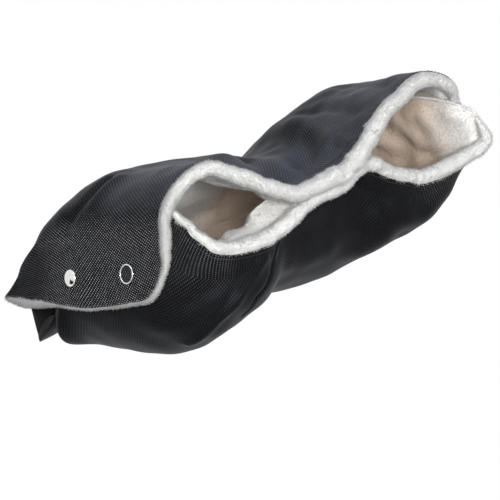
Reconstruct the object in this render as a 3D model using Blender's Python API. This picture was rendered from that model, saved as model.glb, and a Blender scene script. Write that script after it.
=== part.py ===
"""A stroller hand muff: a padded sheet folded over the handlebar, with two hand openings and two snapped end flaps.

World frame: +X runs along the handlebar, +Y forward to the stroller, +Z up, in metres. The origin is the middle of
the handlebar's tunnel. The sheet is laid out in muff axes, along, back and up, and raked about X as the handle is.
"""

import math
from dataclasses import dataclass

import bmesh
import bpy
import numpy as np
from mathutils import Matrix, Vector

MM = 0.001

# Overall sizes of the folded sheet
HALF_LENGTH = 230 * MM
HALF_DEPTH = 115 * MM
HALF_HEIGHT = 85 * MM
HANDLE_RAKE = math.radians(17)

# Layers of the sheet, from outside to inside
SHELL_THICKNESS = 0.9 * MM
PADDING_THICKNESS = 4.0 * MM
LINING_THICKNESS = 4.8 * MM
LAYER_GAP = 0.3 * MM

# The fold behind the handlebar, where the upper panel meets the lower one
FOLD_DROP = 20 * MM

# End flaps lean outwards below their hinge line and snap to a tab of the lower panel. They stop short of the fold,
# which leaves the handle's arm its way out
FLAP_ROW_END = 0.92
FLAP_CUT_GAP = 2.2 * MM
FLAP_LEAN = math.radians(17.6)

# Lip of the lower panel, which turns forward under the closure and stands up at the hand openings
LIP_BAND_WIDTH = 22 * MM

# Column from which the lower lip runs straight on to the left tab
LIP_TURNS_AT = -1.7

# Fleece turned out along the edges
LIP_RADIUS = 6.6 * MM
EDGE_GAP = 0.8 * MM
TRIM_RADIUS = 4.4 * MM
TRIM_KNOTS = (0.0, 0.2, 0.45, 0.75, 0.93, 1.0)
TRIM_RADIUS_SHARES = (1.0, 1.0, 0.62, 0.55, 1.0, 0.45)

# Snap fasteners
CAP_RADIUS = 7.5 * MM
CAP_RISE = 2.2 * MM
CAP_RIM = 0.5 * MM
RING_WALL = 2.2 * MM
RIVET_RADIUS = 2.1 * MM
RIVET_CLEARANCE = 0.4 * MM
SOCKET_RADIUS = 6.2 * MM
SOCKET_HEIGHT = 3.8 * MM
SOCKET_WALL = 0.7 * MM
SPRING_WIRE_RADIUS = 0.4 * MM
STUD_RADIUS = 2.9 * MM
STUD_NECK_RADIUS = 2.4 * MM
STUD_HEIGHT = 2.4 * MM
FLANGE_RADIUS = 6.0 * MM
FLANGE_THICKNESS = 0.8 * MM
SNAP_SEAT_GAP = 0.4 * MM
SNAP_RUNNING_CLEARANCE = 0.4 * MM
SNAP_SEGMENTS = 14
CUT_OVERRUN = 3 * MM

# Hook-and-loop closure between the hand openings
CLOSURE_LENGTH = 44 * MM
CLOSURE_WIDTH = 18 * MM
CLOSURE_THICKNESS = 1.4 * MM
CLOSURE_START_SHARE = 0.012

# Mesh density
BAND_SEGMENTS = 2
LOWER_FRONT_SEGMENTS = 4
UPPER_FRONT_SEGMENTS = 7
REAR_SEGMENTS = 6
LOWER_CENTRE_SEGMENTS = 14
UPPER_CENTRE_SEGMENTS = 22
END_SEGMENTS = 5
TAB_SEGMENTS = 2
FLAP_SEGMENTS = 3
PATCH_SEGMENTS = (4, 2)
TUBE_SEGMENTS = 8
BAND_SHARE = 0.1

# Step of row and column over which the sheet's slope is taken
NORMAL_STEP = 0.02

# Heights along the muff as shares of HALF_HEIGHT, at stations that are shares of HALF_LENGTH
STATION_SHARES = (-0.565, -0.435, -0.304, -0.152, 0.0, 0.152, 0.304, 0.435, 0.609)
UPPER_EDGE_SHARES = (1.140, 0.950, 0.725, 0.548, 0.543, 0.568, 0.800, 1.020, 1.200)
CREST_SHARES = (1.094, 1.047, 0.988, 0.920, 0.800, 0.680, 0.750, 0.935, 1.070)
LOWER_EDGE_SHARES = (0.088, 0.035, 0.047, 0.200, 0.253, 0.270, 0.329, 0.165, -0.035)
BELLY_SHARES = (-1.000, -0.915, -0.825, -0.820, -0.894, -0.929, -0.935, -0.900, -0.820)
LIP_UPRIGHT_SHARES = (1.0, 1.0, 0.75, 0.15, 0.04, 0.06, 0.35, 0.9, 1.0)

# Broad folds of the upper half between the two hand openings: height, width, and a line of columns and rows
BROAD_FOLDS = (
    (-6.5 * MM, 13 * MM, ((0.48, 0.34), (0.33, 0.25), (0.14, 0.15))),
    (3.5 * MM, 16 * MM, ((0.30, 0.42), (0.12, 0.30), (-0.04, 0.18))),
    (-6.5 * MM, 12 * MM, ((0.00, 0.40), (-0.14, 0.22), (-0.22, 0.10))),
    (3.0 * MM, 14 * MM, ((-0.18, 0.44), (-0.34, 0.24), (-0.42, 0.10))),
    (4.0 * MM, 14 * MM, ((0.66, 0.50), (0.62, 0.38), (0.50, 0.20))),
)
FOLD_FREE_ROWS = (0.04, 0.14)

# Roundness of the section: 2 is an ellipse, and more is squarer
UPPER_REAR_ROUNDNESS = 1.85
LOWER_REAR_ROUNDNESS = 2.3
LOWER_FRONT_ROUNDNESS = 2.3

# How full the hinge line stays towards the rear: 1 follows the section
HINGE_FULLNESS = 0.9

# How far the lower panel runs on before it turns at the ends, as shares of the distance: at the front edge
# and behind it
TURN_LEAVE_SHARES = (0.7, 1.4)
TURN_ARRIVE_SHARES = (0.9, 1.0)


@dataclass
class End:
    """One end of the muff. Tables run from the front edge to the fold in even steps of the row share."""

    side: int
    name: str
    body_reach_share: float
    hinge_reach_share: float
    hinge_height: float
    front_setback: float
    fold_reach_share: float
    exit_reach_share: float
    hem_back_shares: tuple
    hem_height_shares: tuple
    tab_back_shares: tuple
    tab_height_shares: tuple
    tab_wall_shares: tuple
    tab_flare_shares: tuple
    snap_back_shares: tuple
    snap_height_shares: tuple

    @property
    def body_reach(self):
        return self.body_reach_share * HALF_LENGTH

    @property
    def hinge_reach(self):
        return self.hinge_reach_share * HALF_LENGTH

    @property
    def fold_reach(self):
        return self.fold_reach_share * HALF_LENGTH

    @property
    def exit_reach(self):
        return self.exit_reach_share * HALF_LENGTH


LEFT = End(
    side=-1,
    name="left",
    body_reach_share=-0.565,
    hinge_reach_share=0.8935,
    hinge_height=60 * MM,
    front_setback=6 * MM,
    fold_reach_share=0.8478,
    exit_reach_share=0.8826,
    hem_back_shares=(-1.000, -0.852, -0.539, -0.261, 0.0, 0.409, 0.722, 0.957, 1.017),
    hem_height_shares=(0.280, -0.020, -0.105, -0.150, -0.170, -0.135, -0.115, -0.110, -0.235),
    tab_back_shares=(-0.925, -0.755, -0.539, -0.261, 0.0, 0.400, 0.620, 0.950, 1.0),
    tab_height_shares=(0.740, 0.670, 0.580, 0.500, 0.471, 0.300, -0.330, -0.720, -0.237),
    tab_wall_shares=(0.22, 0.44, 0.66, 0.66, 0.66, 0.52, 0.20, 0.06, 0.05),
    tab_flare_shares=(0.0, 0.0, 0.0, 0.0, 0.0, 0.0, 0.0, 0.0, 0.0),
    snap_back_shares=(-0.580, 0.137),
    snap_height_shares=(0.205, 0.140),
)
RIGHT = End(
    side=1,
    name="right",
    body_reach_share=0.609,
    hinge_reach_share=0.987,
    hinge_height=74 * MM,
    front_setback=0 * MM,
    fold_reach_share=0.9522,
    exit_reach_share=0.987,
    hem_back_shares=(-0.800, -0.700, -0.520, -0.261, 0.0, 0.409, 0.722, 0.957, 1.017),
    hem_height_shares=(0.200, -0.050, -0.105, -0.150, -0.160, -0.135, -0.115, -0.110, -0.235),
    tab_back_shares=(-1.130, -0.930, -0.600, -0.300, 0.0, 0.400, 0.620, 0.950, 1.0),
    tab_height_shares=(0.590, 0.760, 0.850, 0.830, 0.730, 0.300, -0.330, -0.600, -0.237),
    tab_wall_shares=(0.30, 0.50, 0.70, 0.75, 0.72, 0.40, 0.12, 0.06, 0.05),
    tab_flare_shares=(0.09, 0.02, 0.0, 0.0, 0.0, 0.0, 0.0, 0.0, 0.0),
    snap_back_shares=(-0.600, 0.117),
    snap_height_shares=(0.500, 0.440),
)
ENDS = (LEFT, RIGHT)
HINGE_PLACES = {end.name: (end.side * end.hinge_reach, 0.0, end.hinge_height) for end in ENDS}

SHEET_THICKNESS = SHELL_THICKNESS + PADDING_THICKNESS + LINING_THICKNESS + 2 * LAYER_GAP
TAB_DEPTH = (
    SHEET_THICKNESS + SNAP_SEAT_GAP + SOCKET_HEIGHT + SNAP_RUNNING_CLEARANCE + FLANGE_THICKNESS + SNAP_SEAT_GAP
)


def smooth_through(knots, values, at):
    """A smooth curve through values at rising knots, with slopes taken from each knot's neighbours."""
    knots, values = np.asarray(knots, float), np.asarray(values, float)
    slopes = np.gradient(values, knots)
    at = min(max(at, knots[0]), knots[-1])
    i = min(int(np.searchsorted(knots, at, side="right")) - 1, len(knots) - 2)
    step = knots[i + 1] - knots[i]
    u = (at - knots[i]) / step
    return hermite(values[i], values[i + 1], slopes[i] * step, slopes[i + 1] * step, u)


def hermite(start, end, leave, arrive, u):
    """A cubic from start to end, with the tangents leave and arrive."""
    return (
        start * (2 * u**3 - 3 * u**2 + 1)
        + leave * (u**3 - 2 * u**2 + u)
        + end * (3 * u**2 - 2 * u**3)
        + arrive * (u**3 - u**2)
    )


def ease(u):
    """Rises smoothly from 0 to 1."""
    u = min(max(u, 0.0), 1.0)
    return u * u * (3 - 2 * u)


def height_at(shares, along):
    return HALF_HEIGHT * smooth_through(STATION_SHARES, shares, along / HALF_LENGTH)


def by_row(shares, row):
    """A table that runs from the front edge, row 0, to the fold, row 1."""
    return smooth_through(np.linspace(0, 1, len(shares)), shares, row)


def superellipse(turn, roundness):
    """Sine and cosine of a quarter turn, squared off by the roundness."""
    power = 2 / roundness
    return max(math.sin(turn), 0.0) ** power, max(math.cos(turn), 0.0) ** power


def upper_section(along, row):
    """The upper panel's outer face across the muff: front edge at row 0, crest at 0.5, fold at 1."""
    edge, crest = height_at(UPPER_EDGE_SHARES, along), height_at(CREST_SHARES, along)
    if row <= 0.5:
        rise = ease(2 * row)
        return np.array([along, -HALF_DEPTH * (1 - 2 * row), edge + (crest - edge) * rise])
    out, up = superellipse((row - 0.5) * math.pi, UPPER_REAR_ROUNDNESS)
    fold = LAYER_GAP / 2 - FOLD_DROP
    return np.array([along, HALF_DEPTH * out, fold + (crest - fold) * up])


def lower_section(along, row):
    """The lower panel's outer face: lip at row 0, then its band, the belly at 0.5 and the fold at 1."""
    edge, belly = height_at(LOWER_EDGE_SHARES, along), height_at(BELLY_SHARES, along)
    upright = smooth_through(STATION_SHARES, LIP_UPRIGHT_SHARES, along / HALF_LENGTH) * math.pi / 2
    start_back = -HALF_DEPTH + LIP_BAND_WIDTH * math.cos(upright)
    start_up = edge - LIP_BAND_WIDTH * math.sin(upright)
    if row <= BAND_SHARE:
        down = row / BAND_SHARE
        return np.array(
            [along, -HALF_DEPTH + (start_back + HALF_DEPTH) * down, edge + (start_up - edge) * down]
        )
    if row <= 0.5:
        drop, front = superellipse((row - BAND_SHARE) / (0.5 - BAND_SHARE) * math.pi / 2, LOWER_FRONT_ROUNDNESS)
        return np.array([along, start_back * front, start_up + (belly - start_up) * drop])
    out, down = superellipse((row - 0.5) * math.pi, LOWER_REAR_ROUNDNESS)
    fold = -LAYER_GAP / 2 - FOLD_DROP
    return np.array([along, HALF_DEPTH * out, fold + (belly - fold) * down])


def flap_plane(end, height, depth=0.0):
    """Where the flap's outer face lies along the muff at this height, or the plane this deep behind it."""
    lean = (end.hinge_height - height) * math.tan(FLAP_LEAN)
    return end.side * (end.hinge_reach + lean - depth / math.cos(FLAP_LEAN))


def corner_blend(row):
    """0 on the end wall, rising to 1 where the wall's edge rounds into the fold."""
    return ease((row - 0.84) / 0.16)


def hinge_point(end, row):
    """The flap's hinge line: level over the front, then down the rear corner to the fold."""
    section = upper_section(end.body_reach, row)
    up = end.hinge_height
    if row > 0.5:
        crest = upper_section(end.body_reach, 0.5)[2]
        fold = LAYER_GAP / 2 - FOLD_DROP
        up = fold + (up - fold) * ((section[2] - fold) / (crest - fold)) ** HINGE_FULLNESS
    round_off = corner_blend(row)
    along = flap_plane(end, up) * (1 - round_off) + end.side * end.fold_reach * round_off
    back = section[1] + end.front_setback * (1 - ease(row / 0.3))
    return np.array([along, back, up])


def hem_point(end, row):
    """The flap's free edge, down its front corner and along its hem to the rear tip and the fold."""
    back = HALF_DEPTH * by_row(end.hem_back_shares, row)
    up = HALF_HEIGHT * by_row(end.hem_height_shares, row)
    round_off = corner_blend(row)
    along = flap_plane(end, up) * (1 - round_off) + end.side * (end.fold_reach + SHEET_THICKNESS) * round_off
    return np.array([along, back, up])


def tab_top_point(end, row):
    """The free edge of the lower panel's end: over the tab and down beside the arm's exit to the fold."""
    back = HALF_DEPTH * by_row(end.tab_back_shares, row)
    up = HALF_HEIGHT * by_row(end.tab_height_shares, row)
    flare = HALF_DEPTH * by_row(end.tab_flare_shares, row)
    round_off = ease((row - 0.6) / 0.2)
    along = flap_plane(end, up, TAB_DEPTH) + end.side * flare
    along = along * (1 - round_off) + end.side * end.exit_reach * round_off
    if row >= 1:
        up = -LAYER_GAP / 2 - FOLD_DROP
    return np.array([along, back, up])


def tab_direction(end, row):
    """Which way the lower panel runs into its free edge: up the tab at the front, outwards at the fold."""
    outward = ease((row - 0.72) / 0.13)
    lean = np.array([-end.side * math.sin(FLAP_LEAN), 0.0, math.cos(FLAP_LEAN)])
    way = lean * (1 - outward) + np.array([end.side, 0.0, 0.0]) * outward
    return way / np.linalg.norm(way)


def slope_at(section, end, row):
    """The panel's direction outwards along a row where the end turn starts."""
    along = end.body_reach
    step = LAYER_GAP
    ahead, behind = section(along, row), section(along - end.side * step, row)
    return (ahead - behind) / step


def upper_plain(column, row):
    """The upper half without folds. Column -1 to 1 is the body and to 2 the turn down to the hinge, on either side."""
    end = RIGHT if column > 0 else LEFT
    reach = abs(column)
    body_end = end.body_reach
    if reach <= 1:
        return upper_section(body_end * reach, row)
    hinge = hinge_point(end, row)
    hem = hem_point(end, row)
    if reach <= 2:
        start = upper_section(body_end, row)
        leave = slope_at(upper_section, end, row) * abs(hinge[0] - start[0]) * 1.15
        fall = (hem - hinge) / np.linalg.norm(hem - hinge)
        arrive = fall * np.linalg.norm(hinge - start) * 0.75
        return hermite(start, hinge, leave, arrive, reach - 1)
    return hinge + (hem - hinge) * (reach - 2)


def distance_to_line(point, line):
    nearest = math.inf
    for first, second in zip(line, line[1:]):
        way = second - first
        share = min(max((point - first) @ way / (way @ way), 0.0), 1.0)
        nearest = min(nearest, np.linalg.norm(point - first - share * way))
    return nearest


FOLD_LINES = [
    (height, width, [upper_plain(column, row) for column, row in stops]) for height, width, stops in BROAD_FOLDS
]


def upper_surface(column, row):
    """The upper half with its broad folds, which fade out towards the hand side, the fold and the ends."""
    point = upper_plain(column, row)
    free = FOLD_FREE_ROWS
    fade = ease((row - free[0]) / (free[1] - free[0])) * ease((1 - row) / free[1]) * ease(2 - abs(column))
    if fade <= 0:
        return point
    rise = sum(height * math.exp(-((distance_to_line(point, line) / width) ** 2)) for height, width, line in FOLD_LINES)
    return point + outward_normal(upper_plain, column, row, 1) * rise * fade


def flap_surface(column, row):
    """The flap from its hinge edge, at column 2 or -2, straight down to its free edge at 3 or -3."""
    end = RIGHT if column > 0 else LEFT
    hinge, hem = hinge_point(end, row), hem_point(end, row)
    drop = np.linalg.norm(hem - hinge)
    start = hinge + (hem - hinge) * FLAP_CUT_GAP / drop
    return start + (hem - start) * (abs(column) - 2)


def lower_surface(column, row):
    """Column -1 to 1 is the body, to 2 the turn up to the tab and to 3 the tab's flat wall, on either side."""
    end = RIGHT if column > 0 else LEFT
    reach = abs(column)
    body_end = end.body_reach
    if reach <= 1:
        return lower_section(body_end * reach, row)
    top = tab_top_point(end, row)
    way = tab_direction(end, row)
    wall = HALF_HEIGHT * by_row(end.tab_wall_shares, row)
    foot = top - way * wall
    if reach <= 2:
        start = lower_section(body_end, row)
        behind = ease(row / 0.3)
        leave_share = TURN_LEAVE_SHARES[0] * (1 - behind) + TURN_LEAVE_SHARES[1] * behind
        arrive_share = TURN_ARRIVE_SHARES[0] * (1 - behind) + TURN_ARRIVE_SHARES[1] * behind
        leave = slope_at(lower_section, end, row) * abs(foot[0] - start[0]) * leave_share
        arrive = way * np.linalg.norm(foot - start) * arrive_share
        return hermite(start, foot, leave, arrive, reach - 1)
    return foot + way * wall * (reach - 2)


def outward_normal(surface, column, row, up):
    """The unit normal of the sheet's outer face. Along the fold it points straight back."""
    low, high = max(row - NORMAL_STEP, 0.0), min(row + NORMAL_STEP, 1.0)
    across = surface(column, high) - surface(column, low)
    step = math.copysign(NORMAL_STEP, column)
    start = column if abs(column) == 2 else column - step
    along = (surface(column + step, row) - surface(start, row)) * math.copysign(1, column)
    normal = np.cross(along, across) * up
    if row >= 1:
        normal = np.array([normal[0], normal[1], 0.0])
    return normal / np.linalg.norm(normal)


def to_world(point):
    """From muff axes to the world: raked about X."""
    along, back, up = point
    return Vector(
        (
            along,
            back * math.cos(HANDLE_RAKE) + up * math.sin(HANDLE_RAKE),
            up * math.cos(HANDLE_RAKE) - back * math.sin(HANDLE_RAKE),
        )
    )


def material(name, colour, roughness, metallic=0.0, sheen=0.0):
    made = bpy.data.materials.new(name)
    made.use_nodes = True
    shader = made.node_tree.nodes["Principled BSDF"]
    shader.inputs["Base Color"].default_value = (*colour, 1)
    shader.inputs["Roughness"].default_value = roughness
    shader.inputs["Metallic"].default_value = metallic
    shader.inputs["Sheen Weight"].default_value = sheen
    made.diffuse_color = (*colour, 1)
    return made


def add_object(name, mesh, look):
    made = bpy.data.objects.new(name, mesh)
    mesh.materials.append(look)
    bpy.context.scene.collection.objects.link(made)
    return made


def sheet_layer(name, surface, up, columns, rows, depth, thickness, look):
    """One layer of the sheet as a closed solid: two grids of faces, and a rim round them."""
    mesh = bpy.data.meshes.new(name)
    shape = bmesh.new()
    grids = []
    for inset in (depth, depth + thickness):
        grid = []
        for column in columns:
            line = []
            for row in rows:
                normal = outward_normal(surface, column, row, up)
                point = surface(column, row) - normal * inset
                line.append(shape.verts.new(to_world(point)))
            grid.append(line)
        grids.append(grid)
    outer, inner = grids
    for i in range(len(columns) - 1):
        for j in range(len(rows) - 1):
            shape.faces.new((outer[i][j], outer[i + 1][j], outer[i + 1][j + 1], outer[i][j + 1]))
            shape.faces.new((inner[i][j], inner[i][j + 1], inner[i + 1][j + 1], inner[i + 1][j]))
    rim = [(i, 0) for i in range(len(columns))]
    rim += [(len(columns) - 1, j) for j in range(1, len(rows))]
    rim += [(i, len(rows) - 1) for i in range(len(columns) - 2, -1, -1)]
    rim += [(0, j) for j in range(len(rows) - 2, 0, -1)]
    for (i, j), (k, m) in zip(rim, rim[1:] + rim[:1]):
        shape.faces.new((outer[k][m], outer[i][j], inner[i][j], inner[k][m]))
    bmesh.ops.recalc_face_normals(shape, faces=shape.faces)
    shape.to_mesh(mesh)
    shape.free()
    mesh.shade_smooth()
    mesh.set_sharp_from_angle(angle=math.radians(50))
    return add_object(name, mesh, look)


def edge_tube(name, spine, radius, look, radius_shares=None):
    """Fleece turned out over an edge: a tube along the spine, as a bevelled curve with filled ends."""
    curve = bpy.data.curves.new(name, "CURVE")
    curve.dimensions = "3D"
    curve.bevel_depth = radius
    curve.bevel_resolution = TUBE_SEGMENTS // 4
    curve.use_fill_caps = True
    line = curve.splines.new("POLY")
    line.points.add(len(spine) - 1)
    for i, place in enumerate(spine):
        line.points[i].co = (*to_world(place), 1)
        if radius_shares:
            line.points[i].radius = radius_shares[i]
    made = bpy.data.objects.new(name, curve)
    curve.materials.append(look)
    bpy.context.scene.collection.objects.link(made)
    return made


def edge_spine(surface, up, places, radii):
    """A tube's centres beside the sheet's edge, mitred where the edge bends, and flush with the outer face.

    places holds the edge's column and row pairs in order, with the panel on the left of the way they run."""
    edge = [surface(column, row) for column, row in places]
    spine = []
    for i, (column, row) in enumerate(places):
        normal = outward_normal(surface, column, row, up)
        sides = []
        for first, second in ((i - 1, i), (i, i + 1)):
            if first >= 0 and second < len(edge):
                side = np.cross(edge[second] - edge[first], normal)
                sides.append(side / np.linalg.norm(side))
        off = (sides[0] + sides[-1]) / (1 + sides[0] @ sides[-1])
        depth = min(radii[i], SHEET_THICKNESS / 2)
        spine.append(edge[i] - normal * depth + off * (radii[i] + EDGE_GAP))
    return spine


def turned(name, profile, place, look):
    """A turned piece: the profile, radius and height pairs down its outer side, spun about the snap's axis."""
    mesh = bpy.data.meshes.new(name)
    shape = bmesh.new()
    points = [shape.verts.new((radius, 0.0, height)) for radius, height in profile]
    for first, second in zip(points, points[1:]):
        shape.edges.new((first, second))
    if profile[0][0] > 0:
        shape.edges.new((points[-1], points[0]))
    shape.to_mesh(mesh)
    shape.free()
    made = add_object(name, mesh, look)
    made.matrix_world = place
    screw = made.modifiers.new("turn", "SCREW")
    screw.axis = "Z"
    screw.steps = SNAP_SEGMENTS
    screw.render_steps = SNAP_SEGMENTS
    screw.use_merge_vertices = True
    screw.merge_threshold = MM / 100
    screw.use_smooth_shade = True
    return made


def snap_frame(end, number):
    """The snap's axis: its foot on the flap's outer face and +Z straight out of the muff."""
    back = HALF_DEPTH * end.snap_back_shares[number]
    up = HALF_HEIGHT * end.snap_height_shares[number]
    foot = to_world((flap_plane(end, up), back, up))
    out = to_world((end.side * math.cos(FLAP_LEAN), 0.0, math.sin(FLAP_LEAN)))
    side = to_world((0.0, 1.0, 0.0))
    top = out.cross(side)
    turn = Matrix((side, -top, out)).transposed()
    if turn.determinant() < 0:
        turn = Matrix((side, top, out)).transposed()
    return Matrix.Translation(foot) @ turn.to_4x4()


def bore(target, place, radius, top, bottom):
    """Cuts a round hole through a layer, along a snap's axis."""
    mesh = bpy.data.meshes.new(target.name + "_cutter")
    shape = bmesh.new()
    bmesh.ops.create_cone(
        shape,
        cap_ends=True,
        segments=SNAP_SEGMENTS,
        radius1=radius,
        radius2=radius,
        depth=top - bottom,
        matrix=Matrix.Translation((0, 0, (top + bottom) / 2)),
    )
    shape.to_mesh(mesh)
    shape.free()
    cutter = bpy.data.objects.new(mesh.name, mesh)
    bpy.context.scene.collection.objects.link(cutter)
    cutter.matrix_world = place
    cutter.hide_render = True
    cutter.display_type = "WIRE"
    cut = target.modifiers.new("bore", "BOOLEAN")
    cut.operation = "DIFFERENCE"
    cut.solver = "EXACT"
    cut.object = cutter


def cap_profile(ringed):
    """The cap on the outside of the flap: a dome, or an open ring that shows the fabric, on its rivet."""
    seat = SNAP_SEAT_GAP
    foot = -SHEET_THICKNESS - SNAP_SEAT_GAP + LAYER_GAP
    top = seat + CAP_RISE
    if ringed:
        hollow = seat + CAP_RIM
        return [
            (0.0, hollow),
            (CAP_RADIUS - RING_WALL, hollow),
            (CAP_RADIUS - RING_WALL * 0.8, top * 0.9),
            (CAP_RADIUS - RING_WALL * 0.4, top * 0.9),
            (CAP_RADIUS, seat + CAP_RIM),
            (CAP_RADIUS, seat),
            (RIVET_RADIUS, seat),
            (RIVET_RADIUS, foot),
            (0.0, foot),
        ]
    return [
        (0.0, top),
        (CAP_RADIUS * 0.45, top * 0.95),
        (CAP_RADIUS * 0.8, seat + CAP_RISE * 0.6),
        (CAP_RADIUS, seat + CAP_RIM),
        (CAP_RADIUS, seat),
        (RIVET_RADIUS, seat),
        (RIVET_RADIUS, foot),
        (0.0, foot),
    ]


def socket_profile():
    """The socket under the flap: a cup that opens towards the stud, with a lip that keeps the spring in."""
    roof = -SHEET_THICKNESS - SNAP_SEAT_GAP
    mouth = roof - SOCKET_HEIGHT
    bore_radius = STUD_RADIUS + SNAP_RUNNING_CLEARANCE
    return [
        (0.0, roof),
        (SOCKET_RADIUS, roof),
        (SOCKET_RADIUS, mouth),
        (bore_radius, mouth),
        (bore_radius, mouth + SOCKET_WALL),
        (SOCKET_RADIUS - SOCKET_WALL, mouth + SOCKET_WALL),
        (SOCKET_RADIUS - SOCKET_WALL, roof - SOCKET_WALL),
        (0.0, roof - SOCKET_WALL),
    ]


def stud_profile():
    """The stud on the tab: a flange, a neck and a rounded head that the spring grips."""
    seat = -TAB_DEPTH + SNAP_SEAT_GAP
    flange = seat + FLANGE_THICKNESS
    top = flange + STUD_HEIGHT
    return [
        (0.0, top),
        (STUD_RADIUS * 0.7, top),
        (STUD_RADIUS, top - STUD_HEIGHT * 0.25),
        (STUD_NECK_RADIUS, top - STUD_HEIGHT * 0.6),
        (STUD_NECK_RADIUS, flange),
        (FLANGE_RADIUS, flange),
        (FLANGE_RADIUS, seat),
        (0.0, seat),
    ]


def post_profile():
    """The rivet that holds the stud from the tab's inside."""
    top = -TAB_DEPTH + SNAP_SEAT_GAP - LAYER_GAP
    seat = -TAB_DEPTH - SHEET_THICKNESS - SNAP_SEAT_GAP
    return [
        (0.0, top),
        (RIVET_RADIUS, top),
        (RIVET_RADIUS, seat),
        (FLANGE_RADIUS, seat),
        (FLANGE_RADIUS, seat - FLANGE_THICKNESS),
        (0.0, seat - FLANGE_THICKNESS),
    ]


def spring_ring(name, place, look):
    """The wire ring inside the socket."""
    roof = -SHEET_THICKNESS - SNAP_SEAT_GAP
    middle = roof - SOCKET_HEIGHT / 2
    radius = STUD_RADIUS + SNAP_RUNNING_CLEARANCE + SPRING_WIRE_RADIUS
    profile = []
    for corner in range(6):
        turn = -corner * math.tau / 6
        profile.append((radius + SPRING_WIRE_RADIUS * math.cos(turn), middle + SPRING_WIRE_RADIUS * math.sin(turn)))
    return turned(name, profile, place, look)


LAYERS = (
    ("shell", 0.0, SHELL_THICKNESS),
    ("padding", SHELL_THICKNESS + LAYER_GAP, PADDING_THICKNESS),
    ("lining", SHELL_THICKNESS + PADDING_THICKNESS + 2 * LAYER_GAP, LINING_THICKNESS),
)


def spaced(start, end, steps):
    return [start + (end - start) * i / steps for i in range(steps + 1)]


def flap_rows():
    """Row shares from the front edge to where the flap stops short of the fold."""
    return spaced(0.0, 0.5, UPPER_FRONT_SEGMENTS) + spaced(0.5, FLAP_ROW_END, REAR_SEGMENTS)[1:]


def upper_rows():
    return flap_rows() + [1.0]


def lower_rows():
    """The lower panel's lip has its own rows."""
    rows = spaced(0.0, BAND_SHARE, BAND_SEGMENTS) + spaced(BAND_SHARE, 0.5, LOWER_FRONT_SEGMENTS)[1:]
    return rows + spaced(0.5, FLAP_ROW_END, REAR_SEGMENTS)[1:] + [1.0]


def panel_columns(centre_segments, outward):
    """Columns of a panel: the body, and what lies outward of it at each end."""
    return [-column for column in reversed(outward)] + spaced(-1.0, 1.0, centre_segments) + outward


def upper_columns():
    return panel_columns(UPPER_CENTRE_SEGMENTS, spaced(1.0, 2.0, END_SEGMENTS)[1:])


def lower_columns():
    """The body, the turn at each end and the tabs."""
    outward = spaced(1.0, 2.0, END_SEGMENTS)[1:] + spaced(2.0, 3.0, TAB_SEGMENTS)[1:]
    return panel_columns(LOWER_CENTRE_SEGMENTS, outward)


def build_panels(looks):
    """The upper and lower panels, three layers each."""
    made = {}
    for layer, depth, thickness in LAYERS:
        upper = sheet_layer(
            f"upper_{layer}", upper_surface, 1, upper_columns(), upper_rows(), depth, thickness, looks[layer]
        )
        lower = sheet_layer(
            f"lower_{layer}", lower_surface, -1, lower_columns(), lower_rows(), depth, thickness, looks[layer]
        )
        made[f"upper_{layer}"] = upper
        made[f"lower_{layer}"] = lower
    return made


def build_flaps(looks):
    made = {}
    for end in ENDS:
        columns = [end.side * column for column in spaced(2.0, 3.0, FLAP_SEGMENTS)]
        for layer, depth, thickness in LAYERS:
            name = f"{end.name}_flap_{layer}"
            made[name] = sheet_layer(name, flap_surface, 1, columns, flap_rows(), depth, thickness, looks[layer])
    return made


def build_edges(looks):
    """Fleece lips of the hand openings, and the trim round each flap."""
    fleece = looks["fleece_edge"]
    upper = [(column, 0.0) for column in upper_columns()]
    spine = edge_spine(upper_surface, 1, upper, [LIP_RADIUS] * len(upper))
    edge_tube("upper_fleece_lip", spine, LIP_RADIUS, fleece)
    body = [column for column in lower_columns() if LIP_TURNS_AT <= column <= 2.0]
    lower = [(column, 0.0) for column in (3.0, *reversed(body), -2.0, -3.0)]
    spine = edge_spine(lower_surface, -1, lower, [LIP_RADIUS] * len(lower))
    edge_tube("lower_fleece_lip", spine, LIP_RADIUS, fleece)
    for end in ENDS:
        edge = [(end.side * column, 0.0) for column in spaced(2.0, 3.0, FLAP_SEGMENTS)[1:]]
        edge += [(3.0 * end.side, row) for row in flap_rows()[1:]]
        shares = [smooth_through(TRIM_KNOTS, TRIM_RADIUS_SHARES, i / (len(edge) - 1)) for i in range(len(edge))]
        if end.side < 0:
            edge.reverse()
            shares.reverse()
        spine = edge_spine(flap_surface, 1, edge, [TRIM_RADIUS * share for share in shares])
        edge_tube(f"{end.name}_flap_fleece_trim", spine, TRIM_RADIUS, fleece, shares)


def build_closure(looks):
    """Hook patch under the upper panel and loop patch on the lower one, between the hand openings."""
    half = CLOSURE_LENGTH / 2 / abs(LEFT.body_reach)
    columns = spaced(-half, half, PATCH_SEGMENTS[0])
    depth = SHEET_THICKNESS + LAYER_GAP
    hook_rows = spaced(CLOSURE_START_SHARE, CLOSURE_WIDTH / HALF_DEPTH / 2, PATCH_SEGMENTS[1])
    loop_rows = spaced(CLOSURE_START_SHARE, BAND_SHARE * CLOSURE_WIDTH / LIP_BAND_WIDTH, PATCH_SEGMENTS[1])
    sheet_layer("hook_patch", upper_surface, 1, columns, hook_rows, depth, CLOSURE_THICKNESS, looks["hook"])
    sheet_layer("loop_patch", lower_surface, -1, columns, loop_rows, depth, CLOSURE_THICKNESS, looks["loop"])


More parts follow.
